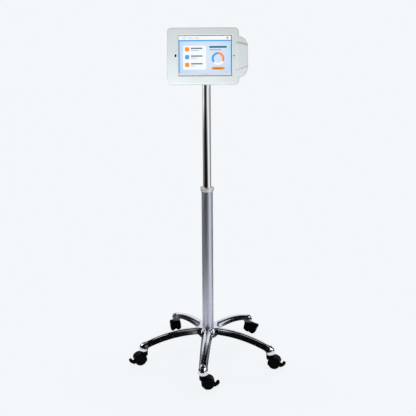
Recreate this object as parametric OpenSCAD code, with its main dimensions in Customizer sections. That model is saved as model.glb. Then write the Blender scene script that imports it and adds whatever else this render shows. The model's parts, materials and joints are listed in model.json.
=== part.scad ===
// Tablet kiosk stand on a five-arm caster base.
// Millimetres, +Z up, floor at z = 0, column axis on the origin, screen facing -Y.

/* [Base] */
// Radius of the circle through the five caster stems
star_radius = 276; // [255:1:310]
// Rise of the arm crest above the boss underside
arch_rise = 75; // [70:1:85]
// Fall of the ridge from the crest to the caster stem
ridge_drop = 43.5; // [40:0.5:48]
// Arm width beside the hub
arm_width_hub = 44; // [40:1:48]
// Arm width before the tip
arm_width_tip = 34; // [32:1:36]
// Depth of the arm section
arm_depth = 22; // [20:0.5:24]
// Diameter of the boss at an arm tip
boss_diameter = 40; // [38:1:44]

/* [Casters] */
// Diameter of a wheel
wheel_diameter = 48; // [46:1:54]
// Width over the hood
caster_width = 41.5; // [40:0.5:48]
// Distance from the stem to the axle
caster_trail = 19.5; // [18:0.5:21]
// Heading of the front caster
heading_front = 5; // [-180:1:180]
// Heading of the right front caster
heading_right_front = -14; // [-180:1:180]
// Heading of the right back caster
heading_right_back = 42; // [-180:1:180]
// Heading of the left back caster
heading_left_back = 109; // [-180:1:180]
// Heading of the left front caster
heading_left_front = 200; // [0:1:360]

/* [Column] */
// Outside diameter of the lower tube
lower_tube_diameter = 46; // [44:0.5:48]
// Outside diameter of the upper tube
upper_tube_diameter = 35; // [32:0.5:36]
// Height of the top of the lower tube
column_top = 722; // [660:1:780]
// Largest diameter of the collar
collar_diameter = 55.5; // [53:0.5:60]
// Height of the tilt axis
pivot_height = 1255.5; // [1160:0.5:1320]

/* [Head] */
// Lean of the screen at rest
head_tilt = 16; // [8:0.5:24]
// Width of the tablet
tablet_width = 241; // [220:1:270]
// Height of the tablet
tablet_height = 186; // [168:1:208]
// Rim of the head past the left end of the tablet
rim_left = 22.7; // [21:0.1:30]
// Rim of the head past the right end of the tablet
rim_right = 6.3; // [6:0.1:12]
// Rim of the head below the tablet
rim_low = 12.9; // [12:0.1:20]
// Rim of the head above the tablet
rim_high = 12.1; // [12:0.1:20]
// Tablet border left of the display
border_left = 21.1; // [20:0.1:24]
// Tablet border right of the display
border_right = 22.9; // [22:0.1:26]
// Tablet border above and below the display
border_side = 19; // [17:0.1:24]
// Depth of the closed head
head_depth = 38; // [36:0.5:44]
// Reach of the reader wing beyond the bezel
wing_reach = 33; // [31:0.5:38]
// Height of the reader wing
wing_height = 152; // [148:1:166]

/* [Hidden] */
// Smoothness of round parts
$fn = 64;

// Base
boss_z = wheel_diameter + 14;
crest_z = boss_z + arch_rise;
crest_radius = 70;
reach = star_radius - crest_radius;
arch_radius = (reach * reach + ridge_drop * ridge_drop) / (2 * ridge_drop);
tip_z = crest_z - ridge_drop;
crown_radius = arm_width_hub / 2;
boss_radius = boss_diameter / 2;
seat_z = crest_z - 29;
hub_z = seat_z - 10;
socket_radius = 8;
socket_depth = 23;
stem_radius = 5.5;
arm_angles = [-94.5, -22.5, 49.5, 121.5, 193.5];

// Casters
headings = [heading_front, heading_right_front, heading_right_back, heading_left_back, heading_left_front];
wheel_radius = wheel_diameter / 2;
axle_radius = 3;
hood_radius = wheel_radius + 3;
hood_half = caster_width / 2;
web_half = 7.5;
wheel_in = web_half + 0.6;
wheel_out = hood_half - 1.4;
hood_top = boss_z - 4.3;
brake_x = caster_trail + 24.5;
brake_z = wheel_radius - 7;
brake_stroke = 14;

// Column
lower_radius = lower_tube_diameter / 2;
lower_bore = lower_radius - 2;
upper_radius = upper_tube_diameter / 2;
upper_bore = upper_radius - 1.5;
plug_top = seat_z + 20;
outlet_z = plug_top + 32;
outlet_radius = 6;
collar_radius = collar_diameter / 2;
bush_bottom = column_top - 50;
bush_top = column_top + 20;
glide_z = column_top - 192;
tube_foot = glide_z + 6;
tube_top = pivot_height - 33.5;
screw_angle = -145;

// Tilt joint
lug_half = 8;
lug_radius = 12;
cheek_in = lug_half + 1.5;
cheek = 6;
cheek_out = cheek_in + cheek;
tilt_bolt_radius = 4;
tilt_bolt_head = 5.5;
washer = 1.4;
bracket_half = 48;
bracket_pitch = 75;
bracket_plate = 4;
bracket_corner = 6;
bracket_screw = 2;
gusset = 6;
gusset_reach = 12.5;
gusset_drop = 8;

// Head
pivot_depth = head_depth + 24;
split = -14;
lap = 1;
wall = 3;
face_plate = 4;
tablet_u = -3.3;
tablet_v = -0.35;
tablet_left = tablet_u - tablet_width / 2;
tablet_right = tablet_u + tablet_width / 2;
tablet_low = tablet_v - tablet_height / 2;
tablet_high = tablet_v + tablet_height / 2;
face_left = tablet_left - rim_left;
face_right = tablet_right + rim_right;
face_low = tablet_low - rim_low;
face_high = tablet_high + rim_high;
face_corner = 17;
wing_right = face_right + wing_reach;
wing_mid = -4;
wing_low = wing_mid - wing_height / 2;
wing_high = wing_mid + wing_height / 2;
wing_corner = 37;
wing_root = wing_right - 2.5 * wing_corner;
wing_back = -32;
display_left = tablet_left + border_left;
display_right = tablet_right - border_right;
display_low = tablet_low + border_side;
display_high = tablet_high - border_side;
window_left = display_left - 0.6;
window_right = display_right + 2.4;
window_low = display_low - 2;
window_high = display_high + 2;
bevel = 2.5;
glass_front = -4.2;
glass = 0.8;
home_u = tablet_left + 9.2;
home_radius = 5.35;
lens_u = tablet_right - 12.9;
lens_v = tablet_v - 1.5;
pad_front = -13.5;
pad = 3;
pad_inset = [38.8, 31];
vent_width = 3;
vent_height = 22;
vent_low = face_low + 18.25;
post_radius = 4.6;

// Reader
slot_gap = 2;
cover = 3;
cover_left = face_right - 10.5;
cover_knee = cover_left + 22;
cover_setback_low = [27.6, 32.6, 42.4];
cover_setback_high = [26.7, 31, 39];
cover_groove = 2.4;
groove_depth = 2.2;
rail_width = 12;
read_left = wing_right - 25.5;
read_width = 8;
read_height = 12;
read_low = wing_mid - 5;
board_left = wing_right - 31;
board_width = 25;
board_low = wing_mid - 26;
board_height = 50;
board_back = -11.6;
board = 1.6;

shell_posts = [
  [face_left + 12.5, face_high - 7.3],
  [face_left + 12.5, face_low + 7.3],
  [face_right - 10.5, face_high - 7.3],
  [face_right - 10.5, face_low + 7.3],
  [wing_right - 10, wing_high - 28],
  [wing_right - 10, wing_low + 28]
];
pad_spots = [
  for (u = [tablet_left + pad_inset[0], tablet_right - pad_inset[0]])
    for (v = [tablet_low + pad_inset[1], tablet_high - pad_inset[1]])
      [u, v]
];
bracket_spots = [
  for (u = [-bracket_pitch / 2, bracket_pitch / 2])
    for (v = [-bracket_pitch / 2, bracket_pitch / 2])
      [u, v]
];
board_posts = [
  for (u = [board_left + 3, board_left + board_width - 3])
    for (v = [board_low + 5, board_low + board_height - 5])
      [u, v]
];

// Angle on the arch circle above a plan radius
function arch_angle(r) = acos((r - crest_radius) / arch_radius);

// Sweep of a section along the arch, from angle a to angle b
module along_arch(a, b) {
  translate([crest_radius, 0, crest_z - arch_radius])
    rotate([90, 0, 0])
      rotate([0, 0, a])
        rotate_extrude(angle = b - a, $fn = 180)
          children();
}

// Arm section, crowned on top, x measured from the arch axis
module arm_section() {
  intersection() {
    union() {
      translate([arch_radius - crown_radius, 0])
        circle(r = crown_radius);
      translate([arch_radius - crown_radius - 20, -crown_radius])
        square([20, 2 * crown_radius]);
    }
    translate([arch_radius - arm_depth, -crown_radius])
      square([arm_depth, 2 * crown_radius]);
  }
}

// One arm along +X, cut to its taper in plan
module arm() {
  intersection() {
    along_arch(arch_angle(star_radius), arch_angle(2))
      arm_section();
    translate([0, 0, boss_z - 20])
      linear_extrude(height = arch_rise + 60)
        polygon([
          [0, -arm_width_hub / 2],
          [crest_radius, -arm_width_hub / 2],
          [star_radius + 1, -arm_width_tip / 2],
          [star_radius + 1, arm_width_tip / 2],
          [crest_radius, arm_width_hub / 2],
          [0, arm_width_hub / 2]
        ]);
  }
}

// Boss with a dome at an arm tip
module tip_boss() {
  dome_z = tip_z + 2.5 - boss_radius;
  translate([star_radius, 0, 0])
    rotate_extrude()
      union() {
        translate([0, boss_z])
          square([boss_radius, dome_z - boss_z]);
        translate([0, dome_z])
          intersection() {
            circle(r = boss_radius);
            square([boss_radius, boss_radius]);
          }
      }
}

// Pockets under one arm, with cross ribs left between them
module arm_pockets() {
  steps = [78, crest_radius + reach * 0.29, crest_radius + reach * 0.55, crest_radius + reach * 0.8];
  for (i = [0 : 2])
    along_arch(arch_angle(steps[i + 1]) + 0.25, arch_angle(steps[i]) - 0.25)
      translate([arch_radius - arm_depth - 2, -(arm_width_tip / 2 - 4.5)])
        square([arm_depth - 4, arm_width_tip - 9]);
}

// Hub barrel and the web between the arms
module hub() {
  fillet = 16;
  spread = (arm_width_hub / 2 + fillet) / sin(36);
  web_radius = sqrt(pow(spread * cos(36), 2) + pow(arm_width_hub / 2, 2));
  rotate_extrude()
    polygon([
      [0, hub_z],
      [lower_radius + 13, hub_z],
      [lower_radius + 16, hub_z + 3],
      [lower_radius + 16, crest_z - 14],
      [lower_radius + 12, crest_z - 5],
      [lower_radius + 7, crest_z],
      [lower_radius + 4, crest_z + 1],
      [0, crest_z + 1]
    ]);
  intersection() {
    translate([0, 0, crest_z - 30])
      linear_extrude(height = 40)
        difference() {
          circle(r = web_radius);
          for (i = [0 : 4])
            rotate(arm_angles[i] + 36)
              translate([spread, 0])
                circle(r = fillet);
        }
    rotate_extrude()
      polygon([
        [0, crest_z - 25],
        [web_radius + 2, crest_z - 25],
        [web_radius + 2, crest_z - 19],
        [lower_radius + 21, crest_z - 9],
        [lower_radius + 13, crest_z - 4],
        [0, crest_z - 4]
      ]);
  }
}

// Five-arm base, one casting
module base_casting() {
  color("Silver")
    difference() {
      union() {
        hub();
        for (a = arm_angles)
          rotate([0, 0, a]) {
            arm();
            tip_boss();
          }
      }
      translate([0, 0, seat_z])
        cylinder(r = lower_radius + 0.05, h = 60);
      translate([0, 0, hub_z - 5])
        cylinder(r = 5.3, h = 30);
      for (a = arm_angles)
        rotate([0, 0, a]) {
          arm_pockets();
          translate([star_radius, 0, boss_z - 1])
            cylinder(r = socket_radius + 0.05, h = socket_depth + 2);
        }
    }
}

// Lower tube of the column, with the cable hole at the back
module lower_tube() {
  color("LightGray")
    difference() {
      translate([0, 0, seat_z])
        cylinder(r = lower_radius, h = column_top - seat_z);
      translate([0, 0, seat_z - 1])
        cylinder(r = lower_bore, h = column_top - seat_z + 2);
      translate([0, 0, outlet_z])
        rotate([-90, 0, 0])
          cylinder(r = outlet_radius + 2.1, h = lower_radius + 5);
    }
}

// Plug in the foot of the lower tube
module tube_plug() {
  color("DimGray")
    translate([0, 0, seat_z])
      difference() {
        cylinder(r = lower_bore - 0.04, h = plug_top - seat_z);
        translate([0, 0, -1])
          cylinder(r = 5.04, h = plug_top - seat_z + 2);
      }
}

// Flanged hexagon bolt that pulls the tube into the hub
module hub_bolt() {
  color("Gray")
    union() {
      translate([0, 0, hub_z - 2.5])
        cylinder(r = 11, h = 2.5);
      translate([0, 0, hub_z - 9])
        cylinder(r = 9, h = 7, $fn = 6);
      translate([0, 0, hub_z - 3])
        cylinder(r = 5, h = plug_top - hub_z + 2);
    }
}

// Collar that flares upward on the lower tube
module collar() {
  color("Silver")
    difference() {
      rotate_extrude()
        polygon([
          [upper_radius + 0.5, bush_top],
          [lower_bore + 0.03, bush_top],
          [lower_bore + 0.03, column_top],
          [lower_radius + 0.3, column_top],
          [collar_radius - 1.2, column_top + 16],
          [collar_radius, column_top + 18.5],
          [collar_radius, column_top + 22.8],
          [collar_radius - 1.4, column_top + 24.4],
          [upper_radius + 1.2, column_top + 24.4],
          [upper_radius + 0.5, column_top + 23.7]
        ]);
      set_screw_hole(3.03);
    }
}

// Radial hole for the set screw
module set_screw_hole(r) {
  rotate([0, 0, screw_angle])
    translate([upper_radius - 2, 0, column_top + 11])
      rotate([0, 90, 0])
        cylinder(r = r, h = 40);
}

// Nylon bush between the two tubes
module collar_bush() {
  color("WhiteSmoke")
    difference() {
      translate([0, 0, bush_bottom])
        cylinder(r = lower_bore - 0.03, h = bush_top - bush_bottom);
      translate([0, 0, bush_bottom - 1])
        cylinder(r = upper_radius + 0.1, h = bush_top - bush_bottom + 2);
      set_screw_hole(3.1);
    }
}

// Set screw with a hexagon socket
module collar_set_screw() {
  color("DimGray")
    rotate([0, 0, screw_angle])
      translate([upper_radius + 0.25, 0, column_top + 11])
        rotate([0, 90, 0])
          difference() {
            cylinder(r = 3, h = lower_radius + 1 - upper_radius);
            translate([0, 0, lower_radius - upper_radius - 2.5])
              cylinder(r = 1.7, h = 5, $fn = 6);
          }
}

// Sleeves in the arm tips that take the caster stems
module caster_sockets() {
  color("DarkGray")
    for (a = arm_angles)
      rotate([0, 0, a])
        translate([star_radius, 0, boss_z])
          difference() {
            union() {
              cylinder(r = socket_radius, h = socket_depth);
              translate([0, 0, -2])
                cylinder(r = 12, h = 2);
            }
            translate([0, 0, -3])
              cylinder(r = stem_radius + 0.06, h = socket_depth + 1);
          }
}

// Rubber grommet at the cable hole
module cable_grommet() {
  color("Black")
    translate([0, 0, outlet_z])
      rotate([-90, 0, 0])
        difference() {
          union() {
            translate([0, 0, lower_bore - 3])
              cylinder(r = outlet_radius + 2, h = 7.5);
            difference() {
              translate([0, 0, lower_bore - 2])
                cylinder(r = outlet_radius + 4.5, h = 6.5);
              rotate([90, 0, 0])
                cylinder(r = lower_radius, h = 60, center = true);
            }
          }
          translate([0, 0, lower_bore - 6])
            cylinder(r = outlet_radius, h = 20);
        }
}

// Glide on the foot of the upper tube
module mast_glide() {
  color("WhiteSmoke")
    difference() {
      translate([0, 0, glide_z])
        cylinder(r = lower_bore - 0.2, h = 40);
      translate([0, 0, tube_foot - 0.2])
        cylinder(r = upper_radius + 0.06, h = 50);
      translate([0, 0, glide_z - 1])
        cylinder(r = upper_bore - 3, h = 20);
    }
}

// Upper tube
module upper_tube() {
  color("Gainsboro")
    difference() {
      translate([0, 0, tube_foot])
        cylinder(r = upper_radius, h = tube_top - tube_foot);
      translate([0, 0, tube_foot - 1])
        cylinder(r = upper_bore, h = tube_top - tube_foot + 2);
    }
}

// Yoke in the top of the upper tube
module pole_cap() {
  color("Gray")
    difference() {
      union() {
        translate([0, 0, tube_top - 32])
          cylinder(r = upper_bore - 0.04, h = 33);
        translate([0, 0, tube_top])
          cylinder(r = upper_radius + 1.5, h = 6);
        for (s = [-1, 1])
          translate([s * (cheek_in + cheek / 2), 0, 0])
            rotate([0, 90, 0])
              union() {
                translate([-pivot_height, 0, -cheek / 2])
                  cylinder(r = lug_radius, h = cheek);
                translate([-pivot_height, -lug_radius, -cheek / 2])
                  cube([pivot_height - tube_top - 5, 2 * lug_radius, cheek]);
              }
      }
      translate([-cheek_out - 1, 0, pivot_height])
        rotate([0, 90, 0])
          cylinder(r = tilt_bolt_radius + 0.04, h = 2 * cheek_out + 2);
    }
}

// Tilt bolt across the yoke
module tilt_bolt() {
  color("DimGray")
    translate([0, 0, pivot_height])
      rotate([0, 90, 0])
        difference() {
          union() {
            translate([0, 0, -cheek_out - tilt_bolt_head])
              cylinder(r = tilt_bolt_radius + 2.5, h = tilt_bolt_head);
            translate([0, 0, -cheek_out - 0.5])
              cylinder(r = tilt_bolt_radius, h = 2 * cheek_out + 8);
          }
          translate([0, 0, -cheek_out - tilt_bolt_head - 1])
            cylinder(r = tilt_bolt_radius - 1.1, h = 4, $fn = 6);
        }
}

// Nut on the tilt bolt
module tilt_nut() {
  color("DimGray")
    translate([cheek_out, 0, pivot_height])
      rotate([0, 90, 0])
        difference() {
          cylinder(r = tilt_bolt_radius + 3.5, h = 6.5, $fn = 6);
          translate([0, 0, -1])
            cylinder(r = tilt_bolt_radius + 0.04, h = 9);
        }
}

// Two friction washers beside the tilt lug
module friction_washers() {
  color("Ivory")
    for (s = [-1, 1])
      translate([s * (cheek_in - washer / 2), 0, pivot_height])
        rotate([0, 90, 0])
          difference() {
            cylinder(r = lug_radius - 1, h = washer, center = true);
            cylinder(r = tilt_bolt_radius + 0.1, h = washer + 2, center = true);
          }
}

// Places children in the frame of the face: x right, y up the face, z out of it
module on_head() {
  translate([0, 0, pivot_height])
    rotate([90 - head_tilt, 0, 0])
      translate([0, 0, pivot_depth])
        children();
}

// Flat plate with round corners, exact
module plate(u0, u1, v0, v1, r, w0, w1) {
  translate([u0 + r, v0, w0])
    cube([u1 - u0 - 2 * r, v1 - v0, w1 - w0]);
  translate([u0, v0 + r, w0])
    cube([u1 - u0, v1 - v0 - 2 * r, w1 - w0]);
  for (u = [u0 + r, u1 - r])
    for (v = [v0 + r, v1 - r])
      translate([u, v, w0])
        cylinder(r = r, h = w1 - w0);
}

// Half section of a slab edge: x out to the edge, y through the thickness
module edge_section(x, t, e) {
  square([x, t - e]);
  square([x - e, t]);
  translate([x - e, t - e])
    circle(r = e);
}

// Slab with round corners and a rounded edge on its far face
module slab(u0, u1, v0, v1, r, w0, w1, e) {
  t = w1 - w0;
  translate([0, 0, w0]) {
    translate([u0 + r - lap, v0 + r - lap, 0])
      cube([u1 - u0 - 2 * (r - lap), v1 - v0 - 2 * (r - lap), t]);
    for (k = [0 : 3]) {
      cu = (k == 0 || k == 3) ? u1 - r : u0 + r;
      cv = (k < 2) ? v1 - r : v0 + r;
      translate([cu, cv, 0])
        rotate([0, 0, 90 * k])
          rotate_extrude(angle = 90)
            edge_section(r, t, e);
    }
    translate([u1 - r, v0 + r, 0])
      slab_side(r, t, e, v1 - v0 - 2 * r);
    translate([u0 + r, v1 - r, 0])
      rotate([0, 0, 180])
        slab_side(r, t, e, v1 - v0 - 2 * r);
    translate([u1 - r, v1 - r, 0])
      rotate([0, 0, 90])
        slab_side(r, t, e, u1 - u0 - 2 * r);
    translate([u0 + r, v0 + r, 0])
      rotate([0, 0, -90])
        slab_side(r, t, e, u1 - u0 - 2 * r);
  }
}

// Straight side of a slab, running along +Y from the origin
module slab_side(r, t, e, length) {
  translate([0, length, 0])
    rotate([90, 0, 0])
      linear_extrude(height = length)
        edge_section(r, t, e);
}

// Bracket on the back of the head with the tilt lug
module tilt_bracket() {
  color("Gray")
    on_head()
      difference() {
        union() {
          plate(-bracket_half, bracket_half, -bracket_half, bracket_half, bracket_corner,
            -head_depth - bracket_plate, -head_depth);
          translate([-lug_half, -lug_radius, -pivot_depth])
            cube([2 * lug_half, 2 * lug_radius, pivot_depth - head_depth - bracket_plate + 1]);
          translate([-lug_half, 0, -pivot_depth])
            rotate([0, 90, 0])
              cylinder(r = lug_radius, h = 2 * lug_half);
          for (s = [-1, 1])
            translate([-gusset / 2, s * lug_radius, -head_depth - bracket_plate])
              rotate([90, 0, 90])
                linear_extrude(height = gusset)
                  polygon([[0, 1], [s * gusset_reach, 1], [s * gusset_reach, 0], [0, -gusset_drop]]);
        }
        translate([-lug_half - 1, 0, -pivot_depth])
          rotate([0, 90, 0])
            cylinder(r = tilt_bolt_radius + 0.05, h = 2 * lug_half + 2);
        for (p = bracket_spots)
          translate([p[0], p[1], -head_depth - bracket_plate - 1])
            cylinder(r = bracket_screw + 0.2, h = bracket_plate + 2);
      }
}

// Four screws of the tilt bracket
module bracket_screws() {
  color("DimGray")
    on_head()
      for (p = bracket_spots)
        translate([p[0], p[1], -head_depth - bracket_plate])
          difference() {
            union() {
              translate([0, 0, -2.6])
                cylinder(r = 2 * bracket_screw, h = 2.6);
              translate([0, 0, -1])
                cylinder(r = bracket_screw, h = bracket_plate + 8);
            }
            translate([0, 0, -3.6])
              cylinder(r = bracket_screw - 0.6, h = 2.6, $fn = 6);
          }
}

// Rear shell of the head
module rear_shell() {
  color("White")
    on_head()
      difference() {
        union() {
          difference() {
            mirror([0, 0, 1])
              head_outline(0, -split, head_depth, -wing_back, 6);
            mirror([0, 0, 1])
              head_outline(wall, -split - 1, head_depth - wall, -wing_back - wall, 3);
          }
          for (p = pad_spots)
            translate([p[0], p[1], -head_depth + 1])
              cylinder(r = 6, h = head_depth - 1 + pad_front - pad);
          for (p = bracket_spots)
            translate([p[0], p[1], -head_depth + 1])
              cylinder(r = 5, h = 9);
          for (i = [0 : 5])
            translate([shell_posts[i][0], shell_posts[i][1], (i < 4 ? -head_depth : wing_back) + 1.5])
              cylinder(r = post_radius, h = split - (i < 4 ? -head_depth : wing_back) - 1.5);
        }
        for (p = bracket_spots)
          translate([p[0], p[1], -head_depth - 1])
            cylinder(r = bracket_screw + 0.03, h = 10);
        for (p = shell_posts) {
          translate([p[0], p[1], -head_depth - 1])
            cylinder(r = 1.9, h = head_depth);
          translate([p[0], p[1], -head_depth - 1])
            cylinder(r = 3.1, h = head_depth + split - 3);
        }
        for (i = [-3 : 3])
          translate([(i * 3 - 0.5) * vent_width, vent_low, -head_depth - 1])
            cube([vent_width, vent_height, wall + 3]);
      }
}

// Outline of the head with its wing, set in by a wall
module head_outline(inset, w0, w1, wing_w1, e) {
  slab(face_left + inset, face_right - inset, face_low + inset, face_high - inset, face_corner - inset,
    w0, w1, e);
  slab(wing_root + inset, wing_right - inset, wing_low + inset, wing_high - inset, wing_corner - inset,
    w0, wing_w1, e);
}

// Screws that close the head
module shell_screws() {
  color("DimGray")
    on_head()
      for (p = shell_posts)
        translate([p[0], p[1], split - 4])
          difference() {
            union() {
              translate([0, 0, -2.4])
                cylinder(r = 2.9, h = 2.4);
              translate([0, 0, -1])
                cylinder(r = 1.5, h = 12);
            }
            translate([0, 0, -3.4])
              cylinder(r = 1.1, h = 2.4, $fn = 6);
          }
}

// Front bezel with the reader wing
module front_bezel() {
  color("White")
    on_head()
      difference() {
        union() {
          difference() {
            head_outline(0, split, 0, 0, 4);
            head_outline(wall, split - 1, -face_plate, -face_plate, 0.5);
          }
          for (p = shell_posts)
            translate([p[0], p[1], split])
              cylinder(r = post_radius, h = -split - face_plate + 1);
          for (p = board_posts)
            translate([p[0], p[1], board_back + board])
              cylinder(r = 2.5, h = -board_back - board - face_plate + 1);
        }
        window_cut();
        cover_groove_cut();
        for (p = shell_posts)
          translate([p[0], p[1], split - 1])
            cylinder(r = 1.52, h = 9);
        translate([home_u, tablet_v, -face_plate - 2])
          linear_extrude(height = face_plate + 4)
            union() {
              translate([0, 2])
                circle(r = 3.5);
              translate([0, -2])
                circle(r = 3.5);
              translate([-3.5, -2])
                square([7, 4]);
            }
        translate([lens_u, lens_v, -face_plate - 2])
          cylinder(r = 2.5, h = face_plate + 4);
        translate([read_left - 0.5, read_low - 0.5, -face_plate - 2])
          cube([read_width + 1, read_height + 1, face_plate + 4]);
      }
}

// Shadow grooves above and below the slot cover
module cover_groove_cut() {
  translate([0, 0, -groove_depth])
    linear_extrude(height = groove_depth + 1)
      difference() {
        cover_outline(cover_groove);
        cover_outline(0);
      }
}

// Outline of the slot cover, with its low and high edges moved out
module cover_outline(grow) {
  low = [for (d = cover_setback_low) wing_low + d - grow];
  high = [for (d = cover_setback_high) wing_high - d + grow];
  polygon([
    [cover_left, low[0]], [cover_knee, low[1]], [wing_right + 2, low[2]],
    [wing_right + 2, high[2]], [cover_knee, high[1]], [cover_left, high[0]]
  ]);
}

// Window with a bevelled edge
module window_cut() {
  width = window_right - window_left;
  height = window_high - window_low;
  translate([window_left, window_low, -face_plate - 2])
    cube([width, height, face_plate + 4]);
  translate([window_left + width / 2, window_low + height / 2, 0])
    intersection() {
      translate([0, height, 0])
        rotate([90, 0, 0])
          linear_extrude(height = 2 * height)
            bevel_section(width / 2);
      translate([-width, 0, 0])
        rotate([90, 0, 90])
          linear_extrude(height = 2 * width)
            bevel_section(height / 2);
    }
}

// Section of the bevelled window across one direction
module bevel_section(half) {
  polygon([[-half, -bevel], [half, -bevel], [half + bevel + 1, 1], [-half - bevel - 1, 1]]);
}

// Foam pads behind the tablet
module tablet_pads() {
  color("DarkSlateGray")
    on_head()
      for (p = pad_spots)
        translate([p[0], p[1], pad_front - pad])
          cylinder(r = 8, h = pad);
}

// Tablet body
module tablet_body() {
  color("Silver")
    on_head()
      difference() {
        plate(tablet_left, tablet_right, tablet_low, tablet_high, 10, pad_front, glass_front - glass);
        translate([home_u, tablet_v, glass_front - 2.6])
          cylinder(r = home_radius + 0.35, h = 4);
      }
}

// Dark border of the tablet glass
module tablet_glass() {
  color("Black")
    on_head()
      difference() {
        plate(tablet_left + 1, tablet_right - 1, tablet_low + 1, tablet_high - 1, 9,
          glass_front - glass, glass_front);
        translate([display_left - 0.1, display_low - 0.1, glass_front - 2])
          cube([display_right - display_left + 0.2, display_high - display_low + 0.2, 4]);
        translate([home_u, tablet_v, glass_front - 2])
          cylinder(r = home_radius + 0.35, h = 4);
      }
}

// Lit display
module display_panel() {
  color("SkyBlue")
    on_head()
      translate([display_left, display_low, glass_front - glass])
        cube([display_right - display_left, display_high - display_low, glass]);
}

// Home button
module home_button() {
  color("Black")
    on_head()
      translate([home_u, tablet_v, glass_front - 1.9])
        cylinder(r = home_radius, h = 1.6);
}

// Front camera lens
module camera_lens() {
  color("DimGray")
    on_head()
      translate([lens_u, lens_v, glass_front])
        cylinder(r = 2.2, h = 0.8);
}

// Rail that the card edge runs on
module card_rail() {
  color("White")
    on_head()
      translate([cover_left, wing_low + cover_setback_low[1] - 2.6, 0])
        cube([rail_width, wing_height - cover_setback_low[1] - cover_setback_high[1] + 4.6, slot_gap]);
}

// Raised cover of the swipe slot
module reader_cover() {
  color("White")
    on_head()
      intersection() {
        linear_extrude(height = slot_gap + cover + 1)
          cover_outline(0);
        translate([0, wing_high, 0])
          rotate([90, 0, 0])
            linear_extrude(height = wing_height)
              polygon([
                [cover_left, slot_gap], [wing_right, slot_gap], [wing_right, slot_gap + cover - 1.4],
                [wing_right - 2, slot_gap + cover], [cover_left + 5, slot_gap + cover]
              ]);
      }
}

// Read head on its board
module reader_head() {
  color("Goldenrod")
    on_head()
      union() {
        translate([board_left, board_low, board_back])
          cube([board_width, board_height, board]);
        translate([read_left, read_low, board_back + 1])
          cube([read_width, read_height, -board_back - 1]);
        intersection() {
          translate([read_left, read_low, -1])
            cube([read_width, read_height, 2]);
          translate([read_left, read_low + read_height / 2, 0.6 - read_height])
            rotate([0, 90, 0])
              cylinder(r = read_height, h = read_width);
        }
      }
}

// Places children at caster i, x along the heading
module at_caster(i) {
  rotate([0, 0, arm_angles[i]])
    translate([star_radius, 0, 0])
      rotate([0, 0, headings[i] - arm_angles[i]])
        children();
}

// Extrusion of a side view, x and z, over half widths a to b about the middle
module across(a, b) {
  translate([0, b, 0])
    rotate([90, 0, 0])
      linear_extrude(height = b - a)
        children();
}

// Stem with its shoulder and grip groove
module stem(i) {
  color("DarkGray")
    at_caster(i)
      rotate_extrude()
        polygon([
          [0, boss_z - 24],
          [stem_radius - 0.04, boss_z - 24],
          [stem_radius - 0.04, boss_z - 4.3],
          [9, boss_z - 4.3],
          [9, boss_z - 2.3],
          [stem_radius, boss_z - 2.3],
          [stem_radius, boss_z + 11],
          [stem_radius - 0.8, boss_z + 11.5],
          [stem_radius - 0.8, boss_z + 13.5],
          [stem_radius, boss_z + 14],
          [stem_radius, boss_z + 17.5],
          [stem_radius - 1.5, boss_z + 19.5],
          [0, boss_z + 19.5]
        ]);
}

// Hood with its centre web, axle bore and brake trunnions
module hood(i) {
  color("Black")
    at_caster(i)
      difference() {
        union() {
          hood_shell();
          stem_housing();
          across(-web_half, web_half)
            translate([caster_trail, wheel_radius])
              circle(r = 12);
          across(-3, 3)
            brake_lug();
          across(-6.8, 6.8)
            translate([brake_x, brake_z])
              circle(r = 2);
        }
        for (s = [0, 1])
          mirror([0, s, 0])
            wheel_space();
        translate([0, 0, boss_z - 25])
          cylinder(r = stem_radius, h = 40);
        across(-40, 40)
          translate([caster_trail, wheel_radius])
            circle(r = axle_radius + 0.03);
      }
}

// Round housing that holds the stem, blended out of the hood
module stem_housing() {
  rotate_extrude()
    polygon([
      [0, hood_top - 23], [12, hood_top - 23], [15, hood_top - 18], [15, hood_top - 3.5],
      [14.1, hood_top - 1], [12, hood_top], [0, hood_top]
    ]);
}

// Outer form of the hood above its sloping lower edge
module hood_shell() {
  intersection() {
    translate([caster_trail, 0, wheel_radius])
      rotate([90, 0, 0])
        rotate_extrude()
          polygon([
            [0, -hood_half], [hood_radius - 3, -hood_half], [hood_radius - 0.8, -hood_half + 1],
            [hood_radius, -hood_half + 3.5], [hood_radius, hood_half - 3.5],
            [hood_radius - 0.8, hood_half - 1], [hood_radius - 3, hood_half], [0, hood_half]
          ]);
    across(-hood_half - 5, hood_half + 5)
      polygon([
        [caster_trail - 40, wheel_radius - 12], [caster_trail + 40, wheel_radius + 9],
        [caster_trail + 40, wheel_radius + 50], [caster_trail - 40, wheel_radius + 50]
      ]);
  }
}

// Space for one wheel and the open face beside it
module wheel_space() {
  across(web_half, wheel_out + 0.4)
    translate([caster_trail, wheel_radius])
      circle(r = wheel_radius + 1.2);
  across(wheel_out, hood_half + 6)
    translate([caster_trail, wheel_radius])
      circle(r = wheel_radius - 4);
}

// Lug between the axle and the brake pivot
module brake_lug() {
  translate([brake_x, brake_z])
    circle(r = 4.5);
  translate([caster_trail, wheel_radius])
    rotate(atan2(brake_z - wheel_radius, brake_x - caster_trail))
      translate([0, -4])
        square([sqrt(pow(brake_x - caster_trail, 2) + pow(brake_z - wheel_radius, 2)), 8]);
}

// Axle
module axle(i) {
  color("DarkGray")
    at_caster(i)
      across(-(wheel_out - 3.5), wheel_out - 3.5)
        translate([caster_trail, wheel_radius])
          circle(r = axle_radius);
}

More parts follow.
